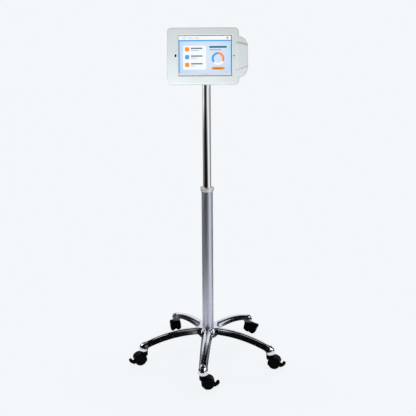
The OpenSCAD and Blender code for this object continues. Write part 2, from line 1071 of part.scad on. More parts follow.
// Wheel on the left (s = 1) or right (s = -1) of the web
module wheel(i, s) {
  color("DarkSlateGray")
    at_caster(i)
      translate([caster_trail, 0, wheel_radius])
        rotate([-90 * s, 0, 0])
          rotate_extrude()
            polygon([
              [axle_radius + 0.06, wheel_in], [9, wheel_in], [9, wheel_in + 6], [11, wheel_in + 7],
              [wheel_radius - 6, wheel_in + 7], [wheel_radius - 4.5, wheel_in + 5.5],
              [wheel_radius - 4.5, wheel_in], [wheel_radius - 1.5, wheel_in], [wheel_radius, wheel_in + 1.6],
              [wheel_radius, wheel_out - 2], [wheel_radius - 1.8, wheel_out], [wheel_radius - 8, wheel_out],
              [wheel_radius - 8.6, wheel_out - 1], [8, wheel_out - 1], [7.4, wheel_out - 0.2],
              [0, wheel_out - 0.2], [0, wheel_out - 3], [axle_radius + 0.06, wheel_out - 3]
            ]);
}

// Toe brake: forked root and a pedal that hooks up at its tip
module brake(i) {
  color("Black")
    at_caster(i)
      difference() {
        union() {
          across(-7, 7)
            brake_root();
          across(-9, 9)
            difference() {
              brake_pedal();
              brake_sweep();
            }
        }
        across(-3.4, 3.4)
          translate([brake_x, brake_z])
            circle(r = 7.5);
        across(-20, 20)
          translate([brake_x, brake_z])
            circle(r = 2.06);
      }
}

// Root of the brake round its pivot, with the bar to the pedal
module brake_root() {
  translate([brake_x, brake_z])
    circle(r = 5);
  translate([brake_x, brake_z - 5])
    square([10, 7]);
}

// Side view of the pedal, hollowed on top for the toe
module brake_pedal() {
  difference() {
    translate([brake_x, brake_z])
      polygon([
        [-5, -10.5], [4.5, -10.5], [14, -4.5], [20.8, 2.6],
        [22, 6], [22, 11], [20.5, 12.5], [-5, 12.5]
      ]);
    translate([brake_x + 5.5, brake_z + 14.6])
      circle(r = 12);
    translate([brake_x - 20, brake_z + 2.6])
      square([25.5, 30]);
  }
}

// Wheels as the pedal meets them, at rest and pressed down
module brake_sweep() {
  translate([caster_trail, wheel_radius])
    circle(r = wheel_radius + 1.2);
  translate([brake_x, brake_z])
    rotate(brake_stroke)
      translate([caster_trail - brake_x, wheel_radius - brake_z])
        circle(r = wheel_radius + 0.1);
}

base_casting();
lower_tube();
tube_plug();
hub_bolt();
collar();
collar_bush();
collar_set_screw();
caster_sockets();
cable_grommet();
mast_glide();
upper_tube();
pole_cap();
tilt_bolt();
tilt_nut();
friction_washers();
tilt_bracket();
bracket_screws();
rear_shell();
shell_screws();
front_bezel();
tablet_pads();
tablet_body();
tablet_glass();
display_panel();
home_button();
camera_lens();
card_rail();
reader_cover();
reader_head();
stem(0);  // caster_1_stem
hood(0);  // caster_1_hood
axle(0);  // caster_1_axle
wheel(0, 1);  // caster_1_wheel_a
wheel(0, -1);  // caster_1_wheel_b
brake(0);  // caster_1_brake
stem(1);  // caster_2_stem
hood(1);  // caster_2_hood
axle(1);  // caster_2_axle
wheel(1, 1);  // caster_2_wheel_a
wheel(1, -1);  // caster_2_wheel_b
brake(1);  // caster_2_brake
stem(2);  // caster_3_stem
hood(2);  // caster_3_hood
axle(2);  // caster_3_axle
wheel(2, 1);  // caster_3_wheel_a
wheel(2, -1);  // caster_3_wheel_b
brake(2);  // caster_3_brake
stem(3);  // caster_4_stem
hood(3);  // caster_4_hood
axle(3);  // caster_4_axle
wheel(3, 1);  // caster_4_wheel_a
wheel(3, -1);  // caster_4_wheel_b
brake(3);  // caster_4_brake
stem(4);  // caster_5_stem
hood(4);  // caster_5_hood
axle(4);  // caster_5_axle
wheel(4, 1);  // caster_5_wheel_a
wheel(4, -1);  // caster_5_wheel_b
brake(4);  // caster_5_brake
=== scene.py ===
# %% [markdown]
# # Tablet kiosk stand
# A rolling floor stand: a polished five-arm base on braked twin-wheel casters, a satin lower tube,
# a chrome upper tube and a white head that holds a tablet and a card reader.
# The CAD model gives every piece its place. This lesson gives the pieces their finish, and makes
# smoother meshes for the few that mirror their surroundings.

# %% Load the frame
import json
import math

import bmesh
import bpy
import numpy as np
from mathutils import Matrix, Vector


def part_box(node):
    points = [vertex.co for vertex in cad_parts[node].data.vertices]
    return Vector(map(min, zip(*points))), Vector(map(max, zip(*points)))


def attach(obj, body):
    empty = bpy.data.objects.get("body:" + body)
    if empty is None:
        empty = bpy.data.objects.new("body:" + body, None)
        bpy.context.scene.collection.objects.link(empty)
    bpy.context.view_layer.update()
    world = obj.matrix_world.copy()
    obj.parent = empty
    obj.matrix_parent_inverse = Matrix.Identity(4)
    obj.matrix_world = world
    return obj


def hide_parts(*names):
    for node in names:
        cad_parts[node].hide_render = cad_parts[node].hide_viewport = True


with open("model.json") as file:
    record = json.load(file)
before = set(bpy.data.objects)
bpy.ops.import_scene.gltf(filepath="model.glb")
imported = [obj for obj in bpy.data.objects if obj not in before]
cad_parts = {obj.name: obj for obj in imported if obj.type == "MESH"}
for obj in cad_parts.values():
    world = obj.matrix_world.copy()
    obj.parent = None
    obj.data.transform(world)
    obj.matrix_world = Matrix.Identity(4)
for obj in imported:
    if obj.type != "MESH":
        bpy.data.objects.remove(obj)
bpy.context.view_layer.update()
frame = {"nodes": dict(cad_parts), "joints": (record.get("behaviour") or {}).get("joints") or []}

nodes = frame["nodes"]
scene = bpy.context.scene
MM = 0.001

# %% [markdown]
# ## Camera
# The photograph was taken from a little above the head, about three metres away, looking down at the stand.
# A camera can be placed by eye, but a fit is surer: the window, the column and the five caster stems have
# known places, so the numbers below are the ones that put all of them on their pixels.

# %% The photograph's viewpoint
IMAGE_WIDTH = 416
FOCAL_PIXELS = 765
CAMERA_PLACE = (0, -2.967, 1.540)
LOOK_DOWN, LOOK_RIGHT, ROLL = (math.radians(a) for a in (16.54, 0.06, -0.41))

camera_data = bpy.data.cameras.new("camera")
camera_data.sensor_width = 36.0
camera_data.lens = FOCAL_PIXELS / IMAGE_WIDTH * camera_data.sensor_width
camera = bpy.data.objects.new("camera", camera_data)
scene.collection.objects.link(camera)
flat = Vector((math.sin(LOOK_RIGHT), math.cos(LOOK_RIGHT), 0))
forward = flat * math.cos(LOOK_DOWN) - Vector((0, 0, math.sin(LOOK_DOWN)))
level = Vector((flat.y, -flat.x, 0))
upright = level.cross(forward)
right = level * math.cos(ROLL) + upright * math.sin(ROLL)
up = upright * math.cos(ROLL) - level * math.sin(ROLL)
axes = Matrix((right, up, -forward)).transposed()
camera.matrix_world = Matrix.Translation(CAMERA_PLACE) @ axes.to_4x4()
scene.camera = camera
print("lens of", round(camera_data.lens, 1), "mm at", CAMERA_PLACE)

# %% [markdown]
# ## Colours and nodes
# A colour picked from a screen is sRGB, but shaders work in linear light, so one function converts it.
# A second function adds any shader node, sets it up and links it. Every finish below is built from these,
# in object coordinates turned to millimetres, so that a pattern's scale is one over its real size.

# %% Helpers for the finishes


def linear(hex_colour):
    """An sRGB hex colour as linear RGBA."""
    parts = [int(hex_colour[i:i + 2], 16) / 255 for i in (1, 3, 5)]
    return [p / 12.92 if p <= 0.04045 else ((p + 0.055) / 1.055) ** 2.4 for p in parts] + [1.0]


def add_node(tree, kind, inputs=None, feeds=None, **settings):
    """Adds a shader node with its settings. A node or socket among the inputs is linked, a hex colour or any
    other value is set, and feeds names the surface shader's input that takes the new node's result."""
    node = tree.nodes.new("ShaderNode" + kind)
    for key, value in settings.items():
        setattr(node, key, value)
    pairs = [(value, node.inputs[key]) for key, value in (inputs or {}).items()]
    if feeds:
        pairs.append((node, tree.nodes["Principled BSDF"].inputs[feeds]))
    for value, target in pairs:
        if isinstance(value, str):
            value = linear(value)
        if isinstance(value, bpy.types.Node):
            value = next(output for output in value.outputs if output.enabled)
        if isinstance(value, bpy.types.NodeSocket):
            tree.links.new(value, target)
        else:
            target.default_value = value
    return node


def start_finish(name, stretch=(1, 1, 1), **sockets):
    """A new material with its shader's uniform sockets set, its node tree, and its places in millimetres."""
    material = bpy.data.materials.new(name)
    material.use_nodes = True
    tree = material.node_tree
    for key, value in sockets.items():
        tree.nodes["Principled BSDF"].inputs[key.replace("_", " ")].default_value = value
    metres = add_node(tree, "TexCoord").outputs["Object"]
    place = add_node(tree, "Mapping", {"Vector": metres, "Scale": [1 / MM * s for s in stretch]})
    print("finish", name)
    return material, tree, place


def paint(names, material):
    """Gives CAD nodes one material."""
    for name in names:
        nodes[name].data.materials.clear()
        nodes[name].data.materials.append(material)
    print(len(names), "nodes in", material.name)


# %% [markdown]
# ## White ABS
# The head is injection moulded ABS with a fine spark-eroded texture. It gives the eye a soft, even sheen
# with no sharp reflections. Two noise textures do that: flow marks of about 70 mm shift colour and gloss a
# little, and the spark texture is a bump. It is about 0.15 mm in reality, drawn here at 0.8 mm so that it
# can show.

# %% Moulded white ABS
abs_white, tree, place = start_finish("abs_white_spark_textured", IOR=1.53)
flow = add_node(tree, "TexNoise", {"Vector": place, "Scale": 1 / 70, "Detail": 2.0})
spark = add_node(tree, "TexNoise", {"Vector": place, "Scale": 1 / 0.8, "Detail": 3.0})
add_node(tree, "Mix", {"Factor": flow, "A": "#DBE1DE", "B": "#E4EAE8"}, "Base Color", data_type="RGBA")
add_node(tree, "MapRange", {"Value": flow, "To Min": 0.36, "To Max": 0.46}, "Roughness")
add_node(tree, "Bump", {"Height": spark, "Distance": 0.03 * MM, "Strength": 0.5}, "Normal")
paint(["front_bezel", "rear_shell", "card_rail", "reader_cover"], abs_white)

# %% [markdown]
# ## Metals
# The upper tube is drawn steel with bright chrome, the lower tube is aluminium with a satin anodised skin,
# the collar is paler and more matt, and the base is an aluminium casting polished on a wheel. A metal
# shows little but its surroundings, so what tells these apart is how sharp the mirror is: a roughness of
# 0.02 to 0.05 for the chrome, 0.09 to 0.15 for the casting, and 0.4 to 0.5 for the satin tube.

# %% Bright chrome on drawn tube
# Chrome is the sharpest mirror here. Faint smears, 9 mm wide and drawn out along the tube, dull it in
# places.
chrome, tree, place = start_finish("chrome_bright_on_drawn_steel", (1, 1, 0.1), Metallic=1.0)
smear = add_node(tree, "TexNoise", {"Vector": place, "Scale": 1 / 9, "Detail": 3.0})
add_node(tree, "Mix", {"Factor": smear, "A": "#EDEEF2", "B": "#F7F8FA"}, "Base Color", data_type="RGBA")
add_node(tree, "MapRange", {"Value": smear, "To Min": 0.02, "To Max": 0.05}, "Roughness")

# %% Satin anodised aluminium
# Extrusion lines run along the tube, about 0.1 mm apart, drawn at 0.6 mm so that they can show. They spread
# the mirror into soft bands of light and dark.
satin, tree, place = start_finish("aluminium_satin_anodised", (1, 1, 0.012), Metallic=1.0)
lines = add_node(tree, "TexNoise", {"Vector": place, "Scale": 1 / 0.6, "Detail": 2.0})
add_node(tree, "Mix", {"Factor": lines, "A": "#D1D5E5", "B": "#DFE2EF"}, "Base Color", data_type="RGBA")
add_node(tree, "MapRange", {"Value": lines, "To Min": 0.4, "To Max": 0.5}, "Roughness")
add_node(tree, "Bump", {"Height": lines, "Distance": 0.02 * MM, "Strength": 0.35}, "Normal")
paint(["tube_plug", "pole_cap", "tilt_bracket"], satin)

# %% Matt anodised collar
# The collar is etched before it is anodised. The skin then scatters part of the light, as paint does, so
# the metal share is below 1 and the ring looks evenly pale. The etch is too fine to show, so it is drawn
# at 0.7 mm.
matt_skin, tree, place = start_finish("aluminium_matt_anodised", Metallic=0.7)
etch = add_node(tree, "TexNoise", {"Vector": place, "Scale": 1 / 0.7, "Detail": 3.0})
add_node(tree, "Mix", {"Factor": etch, "A": "#EBE9E4", "B": "#F3F2EE"}, "Base Color", data_type="RGBA")
add_node(tree, "MapRange", {"Value": etch, "To Min": 0.46, "To Max": 0.56}, "Roughness")
add_node(tree, "Bump", {"Height": etch, "Distance": 0.01 * MM, "Strength": 0.15}, "Normal")

# %% Polished casting
# Wheel polishing leaves the surface bright but slightly wavy, with waves of some 45 mm, and a haze of finer
# marks, some 3.5 mm long, that softens the mirror.
polished, tree, place = start_finish("aluminium_cast_polished", Metallic=1.0)
waves = add_node(tree, "TexNoise", {"Vector": place, "Scale": 1 / 45, "Detail": 1.0})
haze = add_node(tree, "TexNoise", {"Vector": place, "Scale": 1 / 3.5, "Detail": 4.0})
add_node(tree, "Mix", {"Factor": haze, "A": "#D3D5E0", "B": "#E6E7EE"}, "Base Color", data_type="RGBA")
add_node(tree, "MapRange", {"Value": haze, "To Min": 0.09, "To Max": 0.15}, "Roughness")
add_node(tree, "Bump", {"Height": waves, "Distance": 0.15 * MM, "Strength": 0.4}, "Normal")

# %% Zinc-plated steel
# Zinc plating is a cloudy grey mirror, in patches of about 1.6 mm.
zinc, tree, place = start_finish("steel_zinc_plated", Metallic=1.0)
spangle = add_node(tree, "TexNoise", {"Vector": place, "Scale": 1 / 1.6, "Detail": 3.0})
add_node(tree, "Mix", {"Factor": spangle, "A": "#8E9198", "B": "#B7BAC0"}, "Base Color", data_type="RGBA")
add_node(tree, "MapRange", {"Value": spangle, "To Min": 0.24, "To Max": 0.42}, "Roughness")
steel_nodes = ["hub_bolt", "collar_set_screw", "caster_sockets", "tilt_bolt", "tilt_nut", "bracket_screws",
               "shell_screws"]
steel_nodes += [n for n in nodes if n.endswith(("_stem", "_axle"))]
paint(steel_nodes, zinc)

# %% Bead-blasted tablet case
# Glass beads leave tiny pits, drawn here at 0.5 mm so that they can show, and an even, dull sheen.
blasted, tree, place = start_finish("aluminium_bead_blasted", Metallic=1.0)
beads = add_node(tree, "TexNoise", {"Vector": place, "Scale": 1 / 0.5, "Detail": 2.0})
add_node(tree, "Mix", {"Factor": beads, "A": "#B3B5B9", "B": "#C4C6CA"}, "Base Color", data_type="RGBA")
add_node(tree, "MapRange", {"Value": beads, "To Min": 0.38, "To Max": 0.5}, "Roughness")
add_node(tree, "Bump", {"Height": beads, "Distance": 0.02 * MM, "Strength": 0.5}, "Normal")
paint(["tablet_body"], blasted)

# %% [markdown]
# ## Nylon, rubber and foam
# Caster hoods and pedals are black nylon, moulded in a grained tool, so the light breaks up into a dull
# gloss. The wheels are duller and pick up floor dust. The grommet is rubber, foam pads sit behind the
# tablet, and the bush, the glide and the washers are nylon in its natural colour.

# %% Moulded black nylon
# Scuffs of about 7 mm vary the gloss, and the tool's grain, drawn at 0.7 mm so that it can show, breaks it
# up. The hoods look almost black in the photograph, so the specular level is low.
nylon, tree, place = start_finish("nylon_black_moulded", Specular_IOR_Level=0.05)
scuff = add_node(tree, "TexNoise", {"Vector": place, "Scale": 1 / 7, "Detail": 5.0})
pebble = add_node(tree, "TexNoise", {"Vector": place, "Scale": 1 / 0.7, "Detail": 2.0})
add_node(tree, "Mix", {"Factor": scuff, "A": "#010101", "B": "#040405"}, "Base Color", data_type="RGBA")
add_node(tree, "MapRange", {"Value": scuff, "To Min": 0.36, "To Max": 0.52}, "Roughness")
add_node(tree, "Bump", {"Height": pebble, "Distance": 0.04 * MM, "Strength": 0.5}, "Normal")
paint([n for n in nodes if n.endswith(("_hood", "_brake"))], nylon)

# %% Wheels
# Dust lies on the wheels in patches of about 4 mm, which look a little paler and rougher.
tread, tree, place = start_finish("nylon_black_wheel_dusty", Specular_IOR_Level=0.05)
dust = add_node(tree, "TexNoise", {"Vector": place, "Scale": 1 / 4, "Detail": 6.0, "Roughness": 0.65})
add_node(tree, "Mix", {"Factor": dust, "A": "#010101", "B": "#060607"}, "Base Color", data_type="RGBA")
add_node(tree, "MapRange", {"Value": dust, "To Min": 0.45, "To Max": 0.7}, "Roughness")
add_node(tree, "Bump", {"Height": dust, "Distance": 0.05 * MM, "Strength": 0.4}, "Normal")
paint([n for n in nodes if "_wheel_" in n], tread)

# %% Rubber grommet
# Moulded rubber is dull, with a greyish bloom in patches of about 1.5 mm.
rubber, tree, place = start_finish("rubber_black_moulded", Roughness=0.75, IOR=1.52)
bloom = add_node(tree, "TexNoise", {"Vector": place, "Scale": 1 / 1.5, "Detail": 3.0})
add_node(tree, "Mix", {"Factor": bloom, "A": "#101011", "B": "#1D1D1E"}, "Base Color", data_type="RGBA")
add_node(tree, "Bump", {"Height": bloom, "Distance": 0.04 * MM, "Strength": 0.5}, "Normal")
paint(["cable_grommet"], rubber)

# %% Foam pads
# Closed cells of about 0.9 mm, each with a darker rim, leave no gloss at all.
foam, tree, place = start_finish("foam_closed_cell", Roughness=0.9, IOR=1.45)
cells = add_node(tree, "TexVoronoi", {"Vector": place, "Scale": 1 / 0.9})
add_node(tree, "Mix", {"Factor": cells, "A": "#1C1C20", "B": "#0D0D0F"}, "Base Color", data_type="RGBA")
add_node(tree, "Bump", {"Height": cells, "Distance": 0.2 * MM, "Strength": 0.7}, "Normal")
paint(["tablet_pads"], foam)

# %% Natural nylon
# Light enters turned nylon a little way, which makes it look milky, with cloudy patches of about 3 mm.
natural, tree, place = start_finish("nylon_natural_turned", Roughness=0.42, IOR=1.53, Subsurface_Weight=0.1)
cloud = add_node(tree, "TexNoise", {"Vector": place, "Scale": 1 / 3, "Detail": 3.0})
add_node(tree, "Mix", {"Factor": cloud, "A": "#DEDCD2", "B": "#EBE9E2"}, "Base Color", data_type="RGBA")
paint(["collar_bush", "mast_glide", "friction_washers"], natural)

# %% [markdown]
# ## Glass and brass
# The tablet's glass is printed black on its back, so it mirrors sharply over a deep black. Finger marks of
# about 12 mm make the mirror patchy. The card reader's head, behind the slot, is brass.

# %% Printed glass
glass, tree, place = start_finish("glass_black_printed", IOR=1.52)
marks = add_node(tree, "TexNoise", {"Vector": place, "Scale": 1 / 12, "Detail": 4.0})
add_node(tree, "Mix", {"Factor": marks, "A": "#050506", "B": "#0C0C0F"}, "Base Color", data_type="RGBA")
add_node(tree, "MapRange", {"Value": marks, "To Min": 0.03, "To Max": 0.16}, "Roughness")
paint(["tablet_glass", "home_button", "camera_lens"], glass)

# %% Rolled brass
# Rolling leaves brass a warm, slightly clouded mirror, in patches of about 1.2 mm.
brass, tree, place = start_finish("brass_rolled", Metallic=1.0)
rolled = add_node(tree, "TexNoise", {"Vector": place, "Scale": 1 / 1.2, "Detail": 3.0})
add_node(tree, "Mix", {"Factor": rolled, "A": "#9C8A55", "B": "#BFAF7C"}, "Base Color", data_type="RGBA")
add_node(tree, "MapRange", {"Value": rolled, "To Min": 0.25, "To Max": 0.4}, "Roughness")
paint(["reader_head"], brass)

# %% [markdown]
# ## Turned pieces
# Tubes and collars are round about the column, so each is one profile spun about Z. Blender's Screw
# modifier can do that, and so can a few lines of mesh code, which leave no seam. The CAD mesh of a long
# tube has few sides, and a mirror shows them, so the chrome tube, the satin tube and the collar are spun
# again with 160.

# %% Adding a piece


def add_piece(name, mesh, material, body, replaced):
    """Links a new piece, gives it its finish, ties it to its body and hides the CAD node that it replaces."""
    piece = bpy.data.objects.new(name, mesh)
    scene.collection.objects.link(piece)
    mesh.materials.append(material)
    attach(piece, body)
    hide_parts(replaced)
    print(name, "has", len(mesh.polygons), "faces")
    return piece


# %% Outlines with rounded corners


def rounded(corners, steps=6):
    """A closed outline through (x, y, radius) corners, each rounded by an arc in the given steps."""
    points = []
    for i, (x, y, radius) in enumerate(corners):
        here = Vector((x, y))
        before = Vector(corners[i - 1][:2]) - here
        after = Vector(corners[(i + 1) % len(corners)][:2]) - here
        if radius == 0:
            points.append(here)
            continue
        half_turn = before.angle(after) / 2
        middle = (before.normalized() + after.normalized()).normalized()
        centre = here + middle * radius / math.sin(half_turn)
        start = here + before.normalized() * radius / math.tan(half_turn) - centre
        sweep = (math.pi - 2 * half_turn) * math.copysign(1, before.cross(after))
        for k in range(steps + 1):
            points.append(centre + Matrix.Rotation(-sweep * k / steps, 2) @ start)
    return points


# %% Lathe
SPIN_STEPS = 160
CREASE = math.radians(35)


def weigh_normals(piece):
    """Lets large faces rule the shading, so that a small edge round doesn't bend a wall's reflection."""
    weigh = piece.modifiers.new("weigh", "WEIGHTED_NORMAL")
    weigh.keep_sharp = True


def lathe(name, outline):
    """A mesh of a closed outline of (radius, height) in millimetres, spun about Z."""
    mesh = bpy.data.meshes.new(name)
    turns = [2 * math.pi * k / SPIN_STEPS for k in range(SPIN_STEPS)]
    count = len(outline)
    points = [(r * math.cos(t) * MM, r * math.sin(t) * MM, z * MM) for t in turns for r, z in outline]
    faces = []
    for k in range(SPIN_STEPS):
        here, beyond = k * count, (k + 1) % SPIN_STEPS * count
        for i in range(count):
            j = (i + 1) % count
            faces.append((here + i, beyond + i, beyond + j, here + j))
    mesh.from_pydata(points, [], faces)
    work = bmesh.new()
    work.from_mesh(mesh)
    bmesh.ops.recalc_face_normals(work, faces=work.faces)
    work.to_mesh(mesh)
    work.free()
    mesh.shade_smooth()
    mesh.set_sharp_from_angle(angle=CREASE)
    return mesh


# %% Upper tube
TUBE_FOOT, TUBE_TOP = (v.z / MM for v in map(Vector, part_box("upper_tube")))
UPPER_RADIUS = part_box("upper_tube")[1][0] / MM
UPPER_WALL = 1.5
END_ROUND = 0.4
outline = rounded([(UPPER_RADIUS - UPPER_WALL, TUBE_FOOT, 0), (UPPER_RADIUS, TUBE_FOOT, END_ROUND),
                   (UPPER_RADIUS, TUBE_TOP, END_ROUND), (UPPER_RADIUS - UPPER_WALL, TUBE_TOP, 0)], 3)
tube_mesh = lathe("chromed_upper_tube", outline)
weigh_normals(add_piece("chromed_upper_tube", tube_mesh, chrome, "mast", "upper_tube"))
print("tube from", round(TUBE_FOOT, 1), "to", round(TUBE_TOP, 1))

# %% [markdown]
# The lower tube has a hole at the back for the charging cable. It could be modelled into the tube's faces,
# but a Boolean modifier cuts it cleanly. The result is kept as a plain mesh, so that nothing is left to
# compute.

# %% Drilling


def drill_bit(radius, depth, place):
    """A rod to cut a hole with, of a radius and a depth in millimetres, along the Z axis of its place."""
    work = bmesh.new()
    bmesh.ops.create_cone(work, segments=64, cap_ends=True, radius1=radius * MM, radius2=radius * MM,
                          depth=depth * MM, matrix=place)
    mesh = bpy.data.meshes.new("drill_bit")
    work.to_mesh(mesh)
    work.free()
    return mesh


def carve(mesh, cutter_mesh):
    """Cuts one mesh out of another and returns the result."""
    pair = [bpy.data.objects.new(m.name, m) for m in (mesh, cutter_mesh)]
    for item in pair:
        scene.collection.objects.link(item)
    cut = pair[0].modifiers.new("cut", "BOOLEAN")
    cut.operation = "DIFFERENCE"
    cut.solver = "EXACT"
    cut.object = pair[1]
    ready = pair[0].evaluated_get(bpy.context.evaluated_depsgraph_get())
    result = bpy.data.meshes.new_from_object(ready)
    for item in pair:
        bpy.data.objects.remove(item)
    result.shade_smooth()
    result.set_sharp_from_angle(angle=CREASE)
    return result


# %% Lower tube with its cable hole
LOWER_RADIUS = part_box("lower_tube")[1][0] / MM
COLUMN_FOOT, COLUMN_TOP = (v.z / MM for v in map(Vector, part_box("lower_tube")))
OUTLET = Vector(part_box("cable_grommet")[0]).lerp(Vector(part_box("cable_grommet")[1]), 0.5)
LOWER_WALL = 2
HOLE_RADIUS, HOLE_DEPTH = 8.1, 30
outline = rounded([(LOWER_RADIUS - LOWER_WALL, COLUMN_FOOT, 0), (LOWER_RADIUS, COLUMN_FOOT, 0),
                   (LOWER_RADIUS, COLUMN_TOP, END_ROUND), (LOWER_RADIUS - LOWER_WALL, COLUMN_TOP, 0)], 3)
CROSSWISE = Matrix.Rotation(math.pi / 2, 4, "X")
hole_place = Matrix.Translation((0, LOWER_RADIUS * MM, OUTLET.z)) @ CROSSWISE
cable_hole = drill_bit(HOLE_RADIUS, HOLE_DEPTH, hole_place)
tube_mesh = carve(lathe("satin_lower_tube", outline), cable_hole)
weigh_normals(add_piece("satin_lower_tube", tube_mesh, satin, "base", "lower_tube"))

# %% [markdown]
# The collar is a turned ring that flares from a narrow foot to a rounded top, with one set screw in a hole
# at its front left. It is spun and drilled as the lower tube is, and its foot keeps the tube's satin
# finish.

# %% Collar with the screw hole
COLLAR_RADIUS, COLLAR_HEIGHT, BUSH_TOP = 27.75, 24.4, 20
FOOT_HEIGHT, FOOT_STEP = 9.0, 0.3
FLARE, FLARE_HEIGHT = 1.6, 19
bore, inside, foot = UPPER_RADIUS + 0.5, LOWER_RADIUS - LOWER_WALL, LOWER_RADIUS + FOOT_STEP
profile = [
    (bore, BUSH_TOP, 0), (inside, BUSH_TOP, 0), (inside, 0, 0), (foot, 0, 0.8), (foot, FOOT_HEIGHT, 0.6),
    (COLLAR_RADIUS - FLARE, FOOT_HEIGHT + 0.5, 1.2), (COLLAR_RADIUS, FLARE_HEIGHT, 3),
    (COLLAR_RADIUS, COLLAR_HEIGHT, 1.5), (bore, COLLAR_HEIGHT, 0.7),
]
outline = rounded([(radius, COLUMN_TOP + height, edge) for radius, height, edge in profile])
SCREW_TURN = math.radians(-145)
SCREW_RADIUS, SCREW_HEIGHT, SCREW_REACH, SCREW_DEPTH = 3.03, COLUMN_TOP + 11, 35, 40
outward = Matrix.Translation((SCREW_REACH * MM, 0, SCREW_HEIGHT * MM)) @ Matrix.Rotation(math.pi / 2, 4, "Y")
screw_hole = drill_bit(SCREW_RADIUS, SCREW_DEPTH, Matrix.Rotation(SCREW_TURN, 4, "Z") @ outward)
collar_mesh = carve(lathe("satin_collar", outline), screw_hole)
weigh_normals(add_piece("satin_collar", collar_mesh, matt_skin, "base", "collar"))
collar_mesh.materials.append(satin)
for face in collar_mesh.polygons:
    face.material_index = int(face.center.z / MM < COLUMN_TOP + FOOT_HEIGHT - 0.2)

# %% [markdown]
# ## Brake pedals
# Each caster has a toe brake: a thick finger that curls up from a fork between the wheels, moulded in one
# piece with every edge rounded. A Bevel modifier could round them, but a small loft gives more control:
# the side view is drawn once, and copies of it that shrink towards both sides make the rounding.

# %% Shape of a pedal
PEDAL_SIDE = rounded([
    (-4.9, -10.4, 3), (4.5, -10.4, 4), (14.5, -4.5, 8), (22, 4, 5), (22, 12.5, 5.6),
    (9, 12.5, 5.6), (7.5, 3.2, 3), (-4.9, 4.6, 4),
])
HALF_ROWS = [(5.6, 0), (6.7, 0.35), (7.5, 1.1), (7.9, 2.2)]
PEDAL_ROWS = [(-y, inset) for y, inset in reversed(HALF_ROWS)] + HALF_ROWS
FORK_HALF, FORK_RADIUS, PIN_RADIUS, PIN_LENGTH = 3.4, 7.5, 2.06, 40


def shrunk(outline, inset):
    """A copy of a closed outline, moved inwards."""
    ahead = outline[1:] + outline[:1]
    behind = outline[-1:] + outline[:-1]
    return [p + (b - a).orthogonal().normalized() * inset for a, p, b in zip(behind, outline, ahead)]


count = len(PEDAL_SIDE)
points = [(p.x * MM, y * MM, p.y * MM) for y, inset in PEDAL_ROWS for p in shrunk(PEDAL_SIDE, inset)]
last = len(points) - count
faces = []
for start in range(0, last, count):
    for i in range(count):
        j = (i + 1) % count
        faces.append((start + i, start + j, start + count + j, start + count + i))
faces += [list(range(count))[::-1], list(range(last, len(points)))]
pedal_mesh = bpy.data.meshes.new("brake_pedal")
pedal_mesh.from_pydata(points, [], faces)
pedal_mesh = carve(pedal_mesh, drill_bit(FORK_RADIUS, 2 * FORK_HALF, CROSSWISE))
pedal_mesh = carve(pedal_mesh, drill_bit(PIN_RADIUS, PIN_LENGTH, CROSSWISE))
print("pedal of", len(pedal_mesh.vertices), "points")

# %% A pedal on each caster
presses = {j["child"]: j for j in frame["joints"] if j["name"].endswith("brake_press")}
for k, (body, press) in enumerate(sorted(presses.items()), 1):
    across = Vector(press["axis"])
    turn = Matrix((across.cross((0, 0, 1)), across, (0, 0, 1))).transposed().to_4x4()
    moved = pedal_mesh.copy()
    moved.transform(Matrix.Translation(press["pos_m"]) @ turn)
    add_piece(f"brake_pedal_{k}", moved, nylon, body, f"caster_{k}_brake")

# %% [markdown]
# ## The polished base
# The base is one casting: five arched arms run into a hub, with soft fillets where they meet and a round
# boss at each tip. A mirror finish shows every facet, so the casting is made again from a smooth formula:
# a distance that is zero on its surface, below zero inside and above zero outside. Arms, hub and bosses
# are joined with a soft minimum, which leaves a fillet, and the hollows are cut with a maximum, which
# leaves a crisp edge.

# %% Sizes of the casting
ARM_TURNS = [math.radians(a) for a in (-94.5, -22.5, 49.5, 121.5, 193.5)]
STAR_RADIUS, CREST_RADIUS, CREST_HEIGHT = 276.0, 70.0, 137.0
RIDGE_DROP = 43.5
REACH = STAR_RADIUS - CREST_RADIUS
ARCH_RADIUS = (REACH ** 2 + RIDGE_DROP ** 2) / (2 * RIDGE_DROP)
ARCH_HEIGHT = CREST_HEIGHT - ARCH_RADIUS
HALF_HUB, HALF_TIP, ARM_DEPTH = 22.0, 17.0, 22.0
BOSS_RADIUS, BOSS_FOOT, BOSS_SHIFT = 18.2, 62.0, 1.8
DOME_HEIGHT = BOSS_FOOT + 8
DOME_RISE = CREST_HEIGHT - RIDGE_DROP - 2 - DOME_HEIGHT
DRAFT = math.radians(25)
CROWN_RADIUS = (HALF_HUB * math.cos(DRAFT) - ARM_DEPTH * math.sin(DRAFT)) / (1 - math.sin(DRAFT))
HUB_RADIUS, HUB_FOOT, HUB_TOP, SEAT = 39.0, 98.0, CREST_HEIGHT + 1, 108.0
TUBE_BORE, BOLT_BORE, SOCKET_RADIUS, SOCKET_DEPTH = 23.05, 5.3, 8.05, 24.0
CAST_WALL, HALF_RIB = 4.2, 2.2
RIBS = [math.asin(x / ARCH_RADIUS) * ARCH_RADIUS for x in (8.0, REACH * 0.29, REACH * 0.55, REACH * 0.8)]
POCKET_ROUND, BOSS_FILLET, HUB_ROUND, WEB_FILLET, TOP_ROUND = 4, 12, 10, 16, 3
print("arms reach", REACH, "mm beyond the crest, on an arch of", round(ARCH_RADIUS, 1), "mm")

# %% A distance to one arm


def soft_max(a, b, blend):
    """The larger of two distances, with the edge between them rounded over the blend length."""
    mix = np.clip(0.5 + 0.5 * (a - b) / blend, 0, 1)
    return b + (a - b) * mix + blend * mix * (1 - mix)


def soft_min(a, b, blend):
    """The smaller of two distances, with a fillet over the blend length."""
    return -soft_max(-a, -b, blend)


